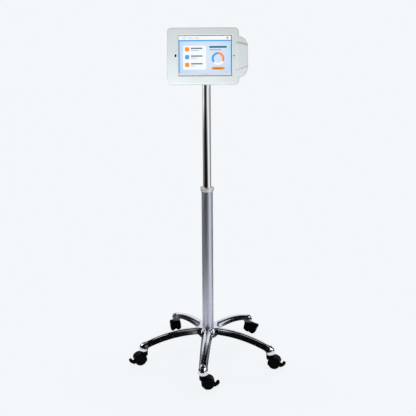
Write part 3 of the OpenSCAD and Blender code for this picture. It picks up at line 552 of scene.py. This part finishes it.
def crowned(side, lift):
    """Distance to the arm's section: a round crown that runs out into sides with a casting's draft."""
    rise = lift + CROWN_RADIUS
    flank = side * math.cos(DRAFT) + rise * math.sin(DRAFT)
    on_crown = rise * math.cos(DRAFT) > side * math.sin(DRAFT)
    return np.where(on_crown, np.hypot(side, rise), flank) - CROWN_RADIUS


def arm_distance(x, y, z):
    """Distances to one arm along +X with its boss, and to its hollows: the socket and the ribbed pockets."""
    lift = np.hypot(x - CREST_RADIUS, z - ARCH_HEIGHT) - ARCH_RADIUS
    half = np.interp(x, [CREST_RADIUS, STAR_RADIUS], [HALF_HUB, HALF_TIP])
    skin = crowned(np.abs(y) * HALF_HUB / half, lift)
    arm = np.maximum(np.maximum(skin, -ARM_DEPTH - lift), np.maximum(-x, x - STAR_RADIUS))
    across = np.hypot(x - STAR_RADIUS, y)
    nose = np.hypot(x - STAR_RADIUS - BOSS_SHIFT, y)
    dome = np.hypot(nose, np.maximum(z - DOME_HEIGHT, 0) * BOSS_RADIUS / DOME_RISE) - BOSS_RADIUS
    boss = np.maximum(dome, BOSS_FOOT - z)
    hollow = np.maximum(across - SOCKET_RADIUS, z - BOSS_FOOT - SOCKET_DEPTH)
    along = np.arctan2(x - CREST_RADIUS, z - ARCH_HEIGHT) * ARCH_RADIUS
    for start, end in zip(RIBS[:-1], RIBS[1:]):
        length = np.maximum(start + HALF_RIB - along, along - end + HALF_RIB)
        hollow = np.minimum(hollow, soft_max(skin + CAST_WALL, length, POCKET_ROUND))
    return soft_min(arm, boss, BOSS_FILLET), hollow


# %% A distance to the casting
def casting_distance(points):
    """Distance in millimetres from points to the whole casting, negative inside."""
    px, py, z = points.T
    radius = np.hypot(px, py)
    hub = soft_max(radius - HUB_RADIUS, z - HUB_TOP, HUB_ROUND)
    body = np.maximum(hub, HUB_FOOT - z)
    tube_hole = np.maximum(radius - TUBE_BORE, SEAT - z)
    bolt_hole = np.maximum(radius - BOLT_BORE, z - SEAT - 1)
    hollow = np.minimum(tube_hole, bolt_hole)
    for turn in ARM_TURNS:
        x = px * math.cos(turn) + py * math.sin(turn)
        y = py * math.cos(turn) - px * math.sin(turn)
        limb, pockets = arm_distance(x, y, z)
        body = soft_min(body, limb, WEB_FILLET)
        hollow = np.minimum(hollow, pockets)
    return np.maximum(soft_max(body, z - HUB_TOP, TOP_ROUND), -hollow)


TINY = 1e-9


def slope(points, step=0.02):
    """Direction of steepest rise of the casting's distance."""
    rise = np.empty_like(points)
    for axis in range(3):
        offset = np.zeros(3)
        offset[axis] = step
        rise[:, axis] = casting_distance(points + offset) - casting_distance(points - offset)
    return rise / np.maximum(np.linalg.norm(rise, axis=1, keepdims=True), TINY)


tip = STAR_RADIUS * math.cos(ARM_TURNS[0]), STAR_RADIUS * math.sin(ARM_TURNS[0]), CREST_HEIGHT
over_tip = float(casting_distance(np.array([tip]))[0])
print("a point over the front arm's tip is", round(over_tip, 1), "mm from the casting")

# %% [markdown]
# A surface can be drawn through the zero of such a distance by marching cubes, but that cuts off every
# edge. Dual contouring keeps edges: wherever a line of a grid passes through the surface, it notes the
# point and the slope there, and each cell of the grid then gets one vertex, at the spot that fits the
# noted slopes best.

# %% Where the grid meets the surface
# The pull towards the middle of its points keeps a vertex in place where all the slopes agree.
GRID = 2.0
MIDDLE_PULL = 0.05
RING = np.array([(0, -1, -1), (0, 0, -1), (0, 0, 0), (0, -1, 0)])


def crossings(field, low, axis):
    """Where grid lines along an axis pass the surface: the points, and the four cells round each."""
    order = [axis, (axis + 1) % 3, (axis + 2) % 3]
    turned = field.transpose(order)
    start = np.argwhere((turned[:-1] < 0) != (turned[1:] < 0))
    starts_inside = turned[tuple(start.T)] < 0
    corner, ring = np.empty_like(start), np.empty_like(RING)
    corner[:, order] = start
    ring[:, order] = RING
    points = low + GRID * corner
    for halving in range(1, 9):
        ahead = points.copy()
        ahead[:, axis] += GRID / 2 ** halving
        same_side = (casting_distance(ahead) < 0) == starts_inside
        points[same_side] = ahead[same_side]
    cells = corner[:, None, :] + ring
    cells[~starts_inside] = cells[~starts_inside][:, ::-1]
    return points, cells


def surface_quads(low, high):
    """Vertices and quads of the casting's surface, in millimetres."""
    counts = np.ceil((high - low) / GRID).astype(int) + 1
    spans = [low[a] + GRID * np.arange(counts[a]) for a in range(3)]
    field = np.empty(counts)
    for k, z in enumerate(spans[2]):
        layer = np.stack(np.meshgrid(spans[0], spans[1], [z], indexing="ij"), -1)
        field[:, :, k] = casting_distance(layer.reshape(-1, 3)).reshape(counts[:2])
    points, cells = (np.concatenate(part) for part in zip(*(crossings(field, low, a) for a in range(3))))
    cell_numbers = np.ravel_multi_index(cells.reshape(-1, 3).T, counts)
    where = np.unique(cell_numbers, return_inverse=True)[1].reshape(-1)
    normals = np.repeat(slope(points), 4, axis=0)
    points = np.repeat(points, 4, axis=0)
    count = np.bincount(where)[:, None]
    middle = np.stack([np.bincount(where, points[:, a]) for a in range(3)], 1) / count
    offsets = ((points - middle[where]) * normals).sum(1)
    goal = np.stack([np.bincount(where, normals[:, a] * offsets) for a in range(3)], 1)
    products = [[np.bincount(where, normals[:, a] * normals[:, b]) for b in range(3)] for a in range(3)]
    pull = np.moveaxis(np.stack(products), 2, 0) + MIDDLE_PULL * np.eye(3)
    moves = np.linalg.solve(pull, goal[:, :, None])[:, :, 0]
    return middle + np.clip(moves, -GRID, GRID), where.reshape(-1, 4)


# %% Bent faces and shading
# Shading normals come from the slope at each vertex, and next to a crisp edge from the slope inside each
# face.
BENT, EDGE_TURN, WRONG_TURN = (math.cos(math.radians(a)) for a in (8, 20, 40))


def split_bent(spots, quads):
    """Faces with each bent quad split in two, along the diagonal that lies closer to the surface."""
    a, b, c, d = (spots[quads[:, k]] for k in range(4))
    sides = [np.cross(b - a, c - a), np.cross(c - a, d - a)]
    sides = [s / np.maximum(np.linalg.norm(s, axis=1, keepdims=True), TINY) for s in sides]
    bent = (sides[0] * sides[1]).sum(1) < BENT
    off_ac, off_bd = (np.abs(casting_distance(m)) for m in ((a + c) / 2, (b + d) / 2))
    turned = np.where((off_bd < off_ac)[:, None], np.roll(quads, -1, axis=1), quads)[bent]
    return quads[~bent], np.concatenate([turned[:, [0, 1, 2]], turned[:, [0, 2, 3]]])


def edge_normals(spots, faces):
    """Shading normals of each face's corners: the slope there, or next to a crisp edge the slope inside."""
    corners = spots[faces]
    centres = corners.mean(axis=1, keepdims=True)
    facing = np.cross(corners[:, 1] - corners[:, 0], corners[:, 2] - corners[:, 0])
    facing /= np.maximum(np.linalg.norm(facing, axis=1, keepdims=True), TINY)
    shading = slope(spots)[faces]
    at_edge = (shading * facing[:, None]).sum(2) < EDGE_TURN
    shading[at_edge] = slope((0.6 * corners + 0.4 * centres)[at_edge])
    wrong = (shading * facing[:, None]).sum(2) < WRONG_TURN
    shading[wrong] = np.broadcast_to(facing[:, None], shading.shape)[wrong]
    return shading.reshape(-1, 3)


# %% The polished base
casting_low, casting_high = (np.array(c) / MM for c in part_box("base_casting"))
spots, quads = surface_quads(casting_low - 3 * GRID, casting_high + 3 * GRID)
flat_quads, triangles = split_bent(spots, quads)
casting = bpy.data.meshes.new("polished_base")
casting.from_pydata(spots * MM, [], flat_quads.tolist() + triangles.tolist())
casting.shade_smooth()
shading = np.concatenate([edge_normals(spots, flat_quads), edge_normals(spots, triangles)])
casting.normals_split_custom_set(shading)
add_piece("polished_base", casting, polished, "base", "base_casting")
print("off the surface by", round(float(np.abs(casting_distance(spots)).mean()), 3), "mm on average")

# %% [markdown]
# ## The lit display
# The screen shows a page of plain blocks: bars, cards, a ring and a button. It could be an image, but an
# image would be a file, so every block is a flat face with its colour kept on its corners. The faces lie a
# few hundredths of a millimetre apart, in the order in which they cover each other.

# %% Place of the page
# The tablet leans back by 16 degrees, so its own height and depth are worked out from its upright box.
LEAN = math.radians(16)
low, high = (Vector(c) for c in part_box("display_panel"))
span = high - low
PAGE_WIDTH = span.x / MM
PAGE_HEIGHT = (span.z * math.cos(LEAN) - span.y * math.sin(LEAN)) / math.cos(2 * LEAN) / MM
PAGE_DEPTH = (span.y * math.cos(LEAN) - span.z * math.sin(LEAN)) / math.cos(2 * LEAN) / MM
page_axes = Matrix(((1, 0, 0), (0, math.sin(LEAN), -math.cos(LEAN)), (0, math.cos(LEAN), math.sin(LEAN))))
page_place = Matrix.Translation((low + high) / 2) @ page_axes.to_4x4()
print("page of", round(PAGE_WIDTH, 1), "x", round(PAGE_HEIGHT, 1), "x", round(PAGE_DEPTH, 2), "mm")

# %% Page blocks
page = bmesh.new()
ink = page.loops.layers.float_color.new("ink")
LAYER = 0.03


def block(outline, layer, colour):
    """Adds one flat face of the page, at its layer, in one hex colour."""
    height = PAGE_DEPTH / 2 + LAYER * layer
    face = page.faces.new([page.verts.new((x * MM, y * MM, height * MM)) for x, y in outline])
    for corner in face.loops:
        corner[ink] = linear(colour)


def bar(x0, y0, x1, y1, layer, colour, radius=0.0):
    """Adds a bar or a card, with rounded corners if a radius is given."""
    corners = [(x0, y0, radius), (x1, y0, radius), (x1, y1, radius), (x0, y1, radius)]
    block(rounded(corners, 5), layer, colour)


def arc(cx, cy, inner, outer, start, end, layer, colour, steps=40):
    """Adds a piece of a ring between two angles in degrees."""
    turns = [math.radians(start + (end - start) * k / steps) for k in range(steps + 1)]
    for a, b in zip(turns[:-1], turns[1:]):
        ends = [(inner, a), (outer, a), (outer, b), (inner, b)]
        corners = [(cx + r * math.cos(t), cy + r * math.sin(t)) for r, t in ends]
        block(corners if inner else corners[1:3] + [(cx, cy)], layer, colour)


# %% Page background
# The sky grows lighter towards the middle, so it is a grid of blocks whose corners are coloured one by one.
X, Y = PAGE_WIDTH / 2, PAGE_HEIGHT / 2
SKY, CLEAR = "#C6E0FC", "#DDEBFD"
columns, rows = 24, 18
for i in range(columns):
    for j in range(rows):
        x0, x1 = (-X + 2 * X * k / columns for k in (i, i + 1))
        y0, y1 = (-Y + 2 * Y * k / rows for k in (j, j + 1))
        corners = [(x0, y0), (x1, y0), (x1, y1), (x0, y1)]
        block(corners, 0, SKY)
        page.faces.ensure_lookup_table()
        for corner, (x, y) in zip(page.faces[-1].loops, corners):
            edge = min(1, math.hypot(x / X, y / Y) ** 2 * 0.75)
            corner[ink] = [a + (b - a) * edge for a, b in zip(linear(CLEAR), linear(SKY))]
print("sky of", len(page.faces), "blocks")

# %% Page layout
# Places and sizes are in millimetres from the middle of the page.
WHITE, ORANGE, BLUE, SLATE, GREY = "#FCFDFE", "#FF9A2E", "#57A9EF", "#3E6F86", "#C9CED3"
FOOTER, LEFT_EDGE, RIGHT_EDGE = "#DDE2E6", "#79BEF6", "#B4DBFA"
DOT, SUBTITLE, BUTTON_LABEL = "#A9B1B8", "#8FB6CF", "#B5651A"
bar(-X, Y - 15, X, Y, 1, WHITE)
bar(-X, Y - 20, X, Y - 15, 1, BLUE)
bar(-X, -Y, X, -Y + 9, 1, FOOTER)
bar(-X, -Y + 9, -X + 5, Y - 20, 1, LEFT_EDGE)
bar(X - 5, -Y + 9, X, Y - 20, 1, RIGHT_EDGE)
for k in range(3):
    bar(-X + 12 + 24 * k, Y - 9.5, -X + 30 + 24 * k, Y - 6.5, 2, GREY, 1.4)
    arc(-8 + 8 * k, -Y + 4.5, 0, 1.6, 0, 360, 2, DOT, 20)
arc(X - 14, Y - 7.5, 0, 4.2, 0, 360, 2, ORANGE, 28)
bar(-82, -52, 4, 38, 2, WHITE, 5)
for k in range(3):
    row = 24 - 29 * k
    bar(-75, row - 8, -59, row + 8, 3, ORANGE if k != 1 else BLUE, 4)
    bar(-53, row + 1.5, -9, row + 6, 3, SLATE, 2)
    bar(-53, row - 6, -22 - 8 * k, row - 2.5, 3, GREY, 1.6)
bar(16, 29, 82, 36, 2, SLATE, 3)
bar(16, 20, 62, 23.5, 2, SUBTITLE, 1.7)
arc(49, -11, 16, 24, 0, 360, 2, WHITE, 56)
arc(49, -11, 16, 24, -30, 90, 3, ORANGE)
arc(49, -11, 16, 24, 90, 220, 3, BLUE)
bar(24, -53, 74, -42, 2, ORANGE, 5.4)
bar(34, -49, 64, -46, 3, BUTTON_LABEL, 1.4)
print("page of", len(page.faces), "blocks")

# %% Display piece
# The back and rim close the page into the thin panel that the CAD model has.
rim = [(-X, -Y), (X, -Y), (X, Y), (-X, Y)]
back = [page.verts.new((x * MM, y * MM, -PAGE_DEPTH / 2 * MM)) for x, y in rim]
front = [page.verts.new((x * MM, y * MM, PAGE_DEPTH / 2 * MM)) for x, y in rim]
page.faces.new(back[::-1])
for k in range(4):
    page.faces.new((back[k], back[(k + 1) % 4], front[(k + 1) % 4], front[k]))
WELD = 1e-7
bmesh.ops.remove_doubles(page, verts=page.verts, dist=WELD)
page_mesh = bpy.data.meshes.new("lit_display")
page.to_mesh(page_mesh)
page.free()
page_mesh.transform(page_place)
print("display of", len(page_mesh.polygons), "faces")

# %% Backlit finish
# The page lights itself from behind a smooth dark panel, so its colours are emission. The pixel pitch is
# about 0.1 mm, drawn at 0.8 mm so that it can show.
lit, tree, place = start_finish("display_backlit", Base_Color=linear("#05060A"), Roughness=0.12, IOR=1.5)
pixels = add_node(tree, "TexNoise", {"Vector": place, "Scale": 1 / 0.8, "Detail": 0.0})
add_node(tree, "MapRange", {"Value": pixels, "To Min": 0.94, "To Max": 1.02}, "Emission Strength")
add_node(tree, "VertexColor", feeds="Emission Color", layer_name="ink")
lit.cycles.emission_sampling = "NONE"
add_piece("lit_display", page_mesh, lit, "head", "display_panel")

# %% [markdown]
# ## Studio
# The stand is on a white sweep with nothing else in view. A lamp could light the sweep until it is white,
# but it would bleach the stand too. So the floor, a wide disc, glows in the background's colour for the
# camera and for mirrors, and near the stand some plain matt white is mixed in, where shadows fall.

# %% What the camera and mirrors see


def seen_directly(tree):
    """A node that is 1 for what the camera, a mirror or glass sees, and 0 for light on matt surfaces."""
    path = add_node(tree, "LightPath")
    rays = [path.outputs[kind] for kind in ("Is Camera Ray", "Is Glossy Ray", "Is Transmission Ray")]
    pair = add_node(tree, "Math", {0: rays[0], 1: rays[1]})
    return add_node(tree, "Math", {0: pair, 1: rays[2]}, use_clamp=True)


# %% Floor
FLOOR_RADIUS = 14.0
work = bmesh.new()
bmesh.ops.create_circle(work, cap_ends=True, segments=96, radius=FLOOR_RADIUS)
floor_mesh = bpy.data.meshes.new("floor")
work.to_mesh(floor_mesh)
work.free()
floor = bpy.data.objects.new("floor", floor_mesh)
scene.collection.objects.link(floor)
print("floor of", FLOOR_RADIUS, "m radius")

# %% White paper sweep
# Matt white paper shows soft shadows near the stand, and further off it can't be told from the background.
BACKGROUND = "#F3F7FA"
SHADOW_CORE, SHADOW_REACH = 0.25, 1.1
CORE_GLOW, CORE_SHARE = 1.06, 0.86
paper = bpy.data.materials.new("paper_white_sweep")
paper.use_nodes = True
tree = paper.node_tree
tree.nodes.clear()
matt = add_node(tree, "BsdfDiffuse", {"Color": "#F1F4F6"})
metres = add_node(tree, "TexCoord").outputs["Object"]
away = add_node(tree, "VectorMath", {0: metres}, operation="LENGTH")
fading = {"Value": away, "From Min": SHADOW_CORE, "From Max": SHADOW_REACH, "To Max": 1.0}
lift = add_node(tree, "MapRange", {**fading, "To Min": CORE_GLOW}, interpolation_type="SMOOTHSTEP")
share = add_node(tree, "MapRange", {**fading, "To Min": CORE_SHARE}, interpolation_type="SMOOTHSTEP")
glow = add_node(tree, "Emission", {"Color": BACKGROUND, "Strength": lift})
seen = add_node(tree, "MixShader", {"Fac": share, 1: matt, 2: glow})
either = add_node(tree, "MixShader", {"Fac": seen_directly(tree), 1: matt, 2: seen})
add_node(tree, "OutputMaterial", {"Surface": either})
paper.cycles.emission_sampling = "NONE"
floor_mesh.materials.append(paper)
print("finish", paper.name, "in", BACKGROUND)

# %% World
AMBIENT = 0.42
world = bpy.data.worlds.new("studio")
scene.world = world
world.use_nodes = True
tree = world.node_tree
tree.nodes.clear()
air = add_node(tree, "Background", {"Color": "#FFFFFF", "Strength": AMBIENT})
wall = add_node(tree, "Background", {"Color": BACKGROUND, "Strength": 1.0})
either = add_node(tree, "MixShader", {"Fac": seen_directly(tree), 1: air, 2: wall})
add_node(tree, "OutputWorld", {"Surface": either})
scene.view_settings.view_transform = "Standard"
print("soft light from all round at", AMBIENT)

# %% [markdown]
# ## What the mirrors show
# Polished metal looks like whatever stands round it, so the studio needs a room. A picture could be
# wrapped round the scene, but sheets of mesh, in a grey kept on their corners, can be set one by one. The
# room is dark and open at the back, where the white wall is, with a soft rim of light round the opening.
# The floor further out is dark on the camera's side and grey on the right. Behind the base lies a painted
# shadow:
# a dark oval that stands for the base's shade on the floor, as mirrors see it. Mirrors alone see these
# sheets, so the light on the white head stays even.

# %% Sheets that mirrors see


def sheet(name, points, width, tone, is_open=None, sampling="NONE"):
    """A sheet through rows of points that mirrors alone see, in a grey that depends on the place."""
    faces = []
    for a in range(len(points) - width - 1):
        panel = (a, a + 1, a + width + 1, a + width)
        middle = sum((Vector(points[i]) for i in panel), Vector()) / 4
        if (a + 1) % width and not (is_open and is_open(middle)):
            faces.append(panel)
    mesh = bpy.data.meshes.new(name)
    mesh.from_pydata(points, [], faces)
    shades = mesh.color_attributes.new("tone", "FLOAT_COLOR", "POINT")
    for point, shade in zip(points, shades.data):
        shade.color = [tone(Vector(point))] * 3 + [1.0]
    cloth = bpy.data.materials.new(name + "_cloth")
    cloth.use_nodes = True
    cloth.node_tree.nodes.clear()
    cloth.cycles.emission_sampling = sampling
    grey = add_node(cloth.node_tree, "VertexColor", layer_name="tone")
    glow = add_node(cloth.node_tree, "Emission", {"Color": grey})
    add_node(cloth.node_tree, "OutputMaterial", {"Surface": glow})
    mesh.materials.append(cloth)
    item = bpy.data.objects.new(name, mesh)
    scene.collection.objects.link(item)
    for ray in ("camera", "diffuse", "transmission", "volume_scatter", "shadow"):
        setattr(item, "visible_" + ray, False)
    print(name, "has", len(faces), "panels")
    return item


def around(turn, radius, height):
    """A point at an angle to the right of the camera's side, in degrees."""
    angle = math.radians(turn - 90)
    return (radius * math.cos(angle), radius * math.sin(angle), height)


# %% The dark room
DARK = 0.004
ROOM_RADIUS = 9.0
ROOM_COLUMNS = 91
BACK_WALL_HALF, BACK_WALL_TOP = 40, 39
RIM_GLOW, RIM_FADE = 0.5, 12


def past_back_wall(point):
    """How far a place in the room lies outside the open back, in degrees, and below zero within it."""
    sideways = math.degrees(math.atan2(point.x, point.y))
    height = math.degrees(math.atan2(point.z, math.hypot(point.x, point.y)))
    return max(abs(sideways) - BACK_WALL_HALF, height - BACK_WALL_TOP)


def room_tone(point):
    """The grey of the room: light spills round the open back and fades within a few degrees."""
    near = 1 - max(0, past_back_wall(point)) / RIM_FADE
    return max(DARK, RIM_GLOW * max(0, near) ** 3)


lifts = [math.radians(90 * k / 30) for k in range(31)]
room = [around(4 * k, ROOM_RADIUS * math.cos(lift), ROOM_RADIUS * math.sin(lift))
        for lift in lifts for k in range(ROOM_COLUMNS)]
sheet("dark_room", room, ROOM_COLUMNS, room_tone, lambda middle: past_back_wall(middle) < 0)

# %% Floor further out
# Angles are in degrees to the right of the camera's side, and distances in metres from the column.
RINGS = [0.5, 0.62, 0.8, 1.05, 1.3, 1.7, 2.2, 2.6, 3, 4, 5, 6, 7, 8, 9]
RING_COLUMNS = 121
FLOOR_GAP, SHADOW_SHEET_GAP = 0.004, 0.002
DARK_STRIPS = ((-132, -114), (102, 118))
STRIP_TONE, SHADOW_SHEET_TONE = 0.03, 0.1
SHADOW_SHEET_MIDDLE, SHADOW_SHEET_HALF, SHADOW_SHEET_COLUMNS = (0.03, 0.19), (0.345, 0.31), 49


def floor_tone(point):
    """The grey of the outer floor: dark in front with soft ends, grey on the right, else white."""
    turn = math.degrees(math.atan2(point.x, -point.y))
    distance = math.hypot(point.x, point.y)
    if turn > 152 or distance < 0.75 and abs(turn) < 98 or distance < 0.55:
        return 1.0
    in_strip = distance > 1 and any(start < turn < end for start, end in DARK_STRIPS)
    if in_strip or turn > (115 if distance < 2.5 else 150):
        return STRIP_TONE
    span = np.interp(distance, [1, 2, 3, 5, 7], [190, 170, 125, 105, 62])
    left_end = max(0, (-20 - turn) / span) ** 3 if turn > -150 else 1.0
    edge = np.interp(distance, [1, 3, 7], [34, 34, 15])
    right_end = min(1, max(0, (turn - edge + 45) / 57)) ** 2.5
    grey_start = np.interp(distance, [3, 7], [70, 52])
    grey_side = 1 - 0.55 * min(1, max(0, (turn - grey_start) / 10))
    return float(max(DARK, min(1.0, left_end + right_end, grey_side)))


outer = [around(3 * k - 180, radius, FLOOR_GAP) for radius in RINGS for k in range(RING_COLUMNS)]
sheet("outer_floor", outer, RING_COLUMNS, floor_tone)
# The dark oval under and behind the base is painted shadow: the base's shade on the floor, as the arms' lower
# sides mirror it.
turns = [2 * math.pi * k / (SHADOW_SHEET_COLUMNS - 1) for k in range(SHADOW_SHEET_COLUMNS)]
shadow_sheet = [(SHADOW_SHEET_MIDDLE[0] + SHADOW_SHEET_HALF[0] * f * math.cos(t), SHADOW_SHEET_MIDDLE[1] + SHADOW_SHEET_HALF[1] * f * math.sin(t), SHADOW_SHEET_GAP)
       for f in (0.02, 0.6, 1.0) for t in turns]
sheet("dark_mat", shadow_sheet, SHADOW_SHEET_COLUMNS, lambda point: SHADOW_SHEET_TONE)

# %% [markdown]
# ## Highlights on the metal
# Soft boxes give the arms' tips and crests their highlights. Area lamps could do that, but bright sheets can
# share the function above. Their light is linked to the metal pieces alone, so the white head stays even.
# Paler walls and panels further off break up the dark room.

# %% Soft boxes
mirrors = bpy.data.collections.new("mirrors")
for name in ("polished_base", "satin_collar", "satin_lower_tube", "chromed_upper_tube"):
    mirrors.objects.link(bpy.data.objects[name])


def soft_box(name, turn, lift, distance, size, strength):
    """A square white sheet that faces the base from an angle to the right and a lift, in degrees."""
    reach = distance * math.cos(math.radians(lift))
    middle = Vector(around(turn, reach, distance * math.sin(math.radians(lift))))
    facing = middle.to_track_quat("Z", "Y").to_matrix().to_4x4()
    corners = [middle + facing @ Vector((size * x, size * y, 0)) for y in (-0.5, 0.5) for x in (-0.5, 0.5)]
    box = sheet(name, [tuple(c) for c in corners], 2, lambda point: strength, sampling="FRONT_BACK")
    box.light_linking.receiver_collection = mirrors


soft_box("left_soft_box", -100, 40, 2.6, 0.8, 5.0)
soft_box("upper_left_box", -78, 72, 2.6, 0.5, 1.4)
soft_box("right_soft_box", 64, 40, 2.6, 0.8, 5.0)
soft_box("back_soft_box", 139, 43, 4.0, 0.7, 0.5)
soft_box("ceiling_box", 60, 80, 2.6, 0.9, 0.45)

# %% Walls and panels
# Each row gives the middle and half width in degrees, the distance, foot and top in metres, and the grey.
WALLS = (
    ("left_wall", -78, 14, 8.5, 0.0, 1.6, 1.0),
    ("right_wall", 50, 16, 8.5, 0.0, 3.0, 1.0),
    ("left_panel", -113, 5, 6.5, 0.55, 3.4, 0.3),
    ("right_panel", 97, 9, 6.5, 1.15, 4.2, 1.0),
    ("front_left_panel", -46, 6, 4.0, 2.2, 4.5, 0.1),
)
for name, turn, half, distance, foot, top, strength in WALLS:
    wall = [around(turn + half * k, distance, z) for z in (foot, top) for k in (-1, -0.5, 0, 0.5, 1)]
    sheet(name, wall, 5, lambda point: strength)

PANEL_MIDDLE, PANEL_HALF, PANEL_GLOW = 26, 8, 0.28


def front_glow(point):
    """The grey of the front panel, which fades to both sides."""
    turn = math.degrees(math.atan2(point.x, -point.y))
    return PANEL_GLOW * max(0, 1 - abs(turn - PANEL_MIDDLE) / PANEL_HALF) ** 2


panel_turns = range(PANEL_MIDDLE - PANEL_HALF, PANEL_MIDDLE + PANEL_HALF + 1, 2)
panel = [around(turn, 4.0, z) for z in (0.95, 5.7) for turn in panel_turns]
sheet("front_panel", panel, len(panel_turns), front_glow)

# %% [markdown]
# ## Lamps
# Four soft lamps light the stand: a key from the left, a weaker fill from the right, a small bluish one
# that stands in for the light that the white floor throws up under the head, and one from behind. Area
# lamps give the soft edges of a studio's light. Their power is kept so that colours come out about as
# written.

# %% Soft lamps


def lamp(name, place, target, size, watts, tint="#FFFFFF"):
    """A square area lamp aimed at a target, which neither the camera nor a mirror sees."""
    data = bpy.data.lights.new(name, "AREA")
    data.shape = "SQUARE"
    data.size = size
    data.energy = watts
    data.color = linear(tint)[:3]
    item = bpy.data.objects.new(name, data)
    scene.collection.objects.link(item)
    item.location = place
    item.rotation_euler = (Vector(target) - Vector(place)).to_track_quat("-Z", "Y").to_euler()
    item.visible_camera = False
    item.visible_glossy = False
    print(name, watts, "W at", place)


lamp("key", (-1.9, -1.6, 2.3), (0, 0, 0.8), 1.0, 12)
lamp("fill", (2.1, -1.3, 1.9), (0, 0, 0.8), 0.9, 6)
lamp("bounce", (-0.14, -0.60, 0.94), (-0.05, -0.08, 1.18), 0.35, 3.05, "#F3F5FF")
lamp("back", (0.7, 1.9, 1.7), (0, 0.05, 1.1), 1.0, 14)
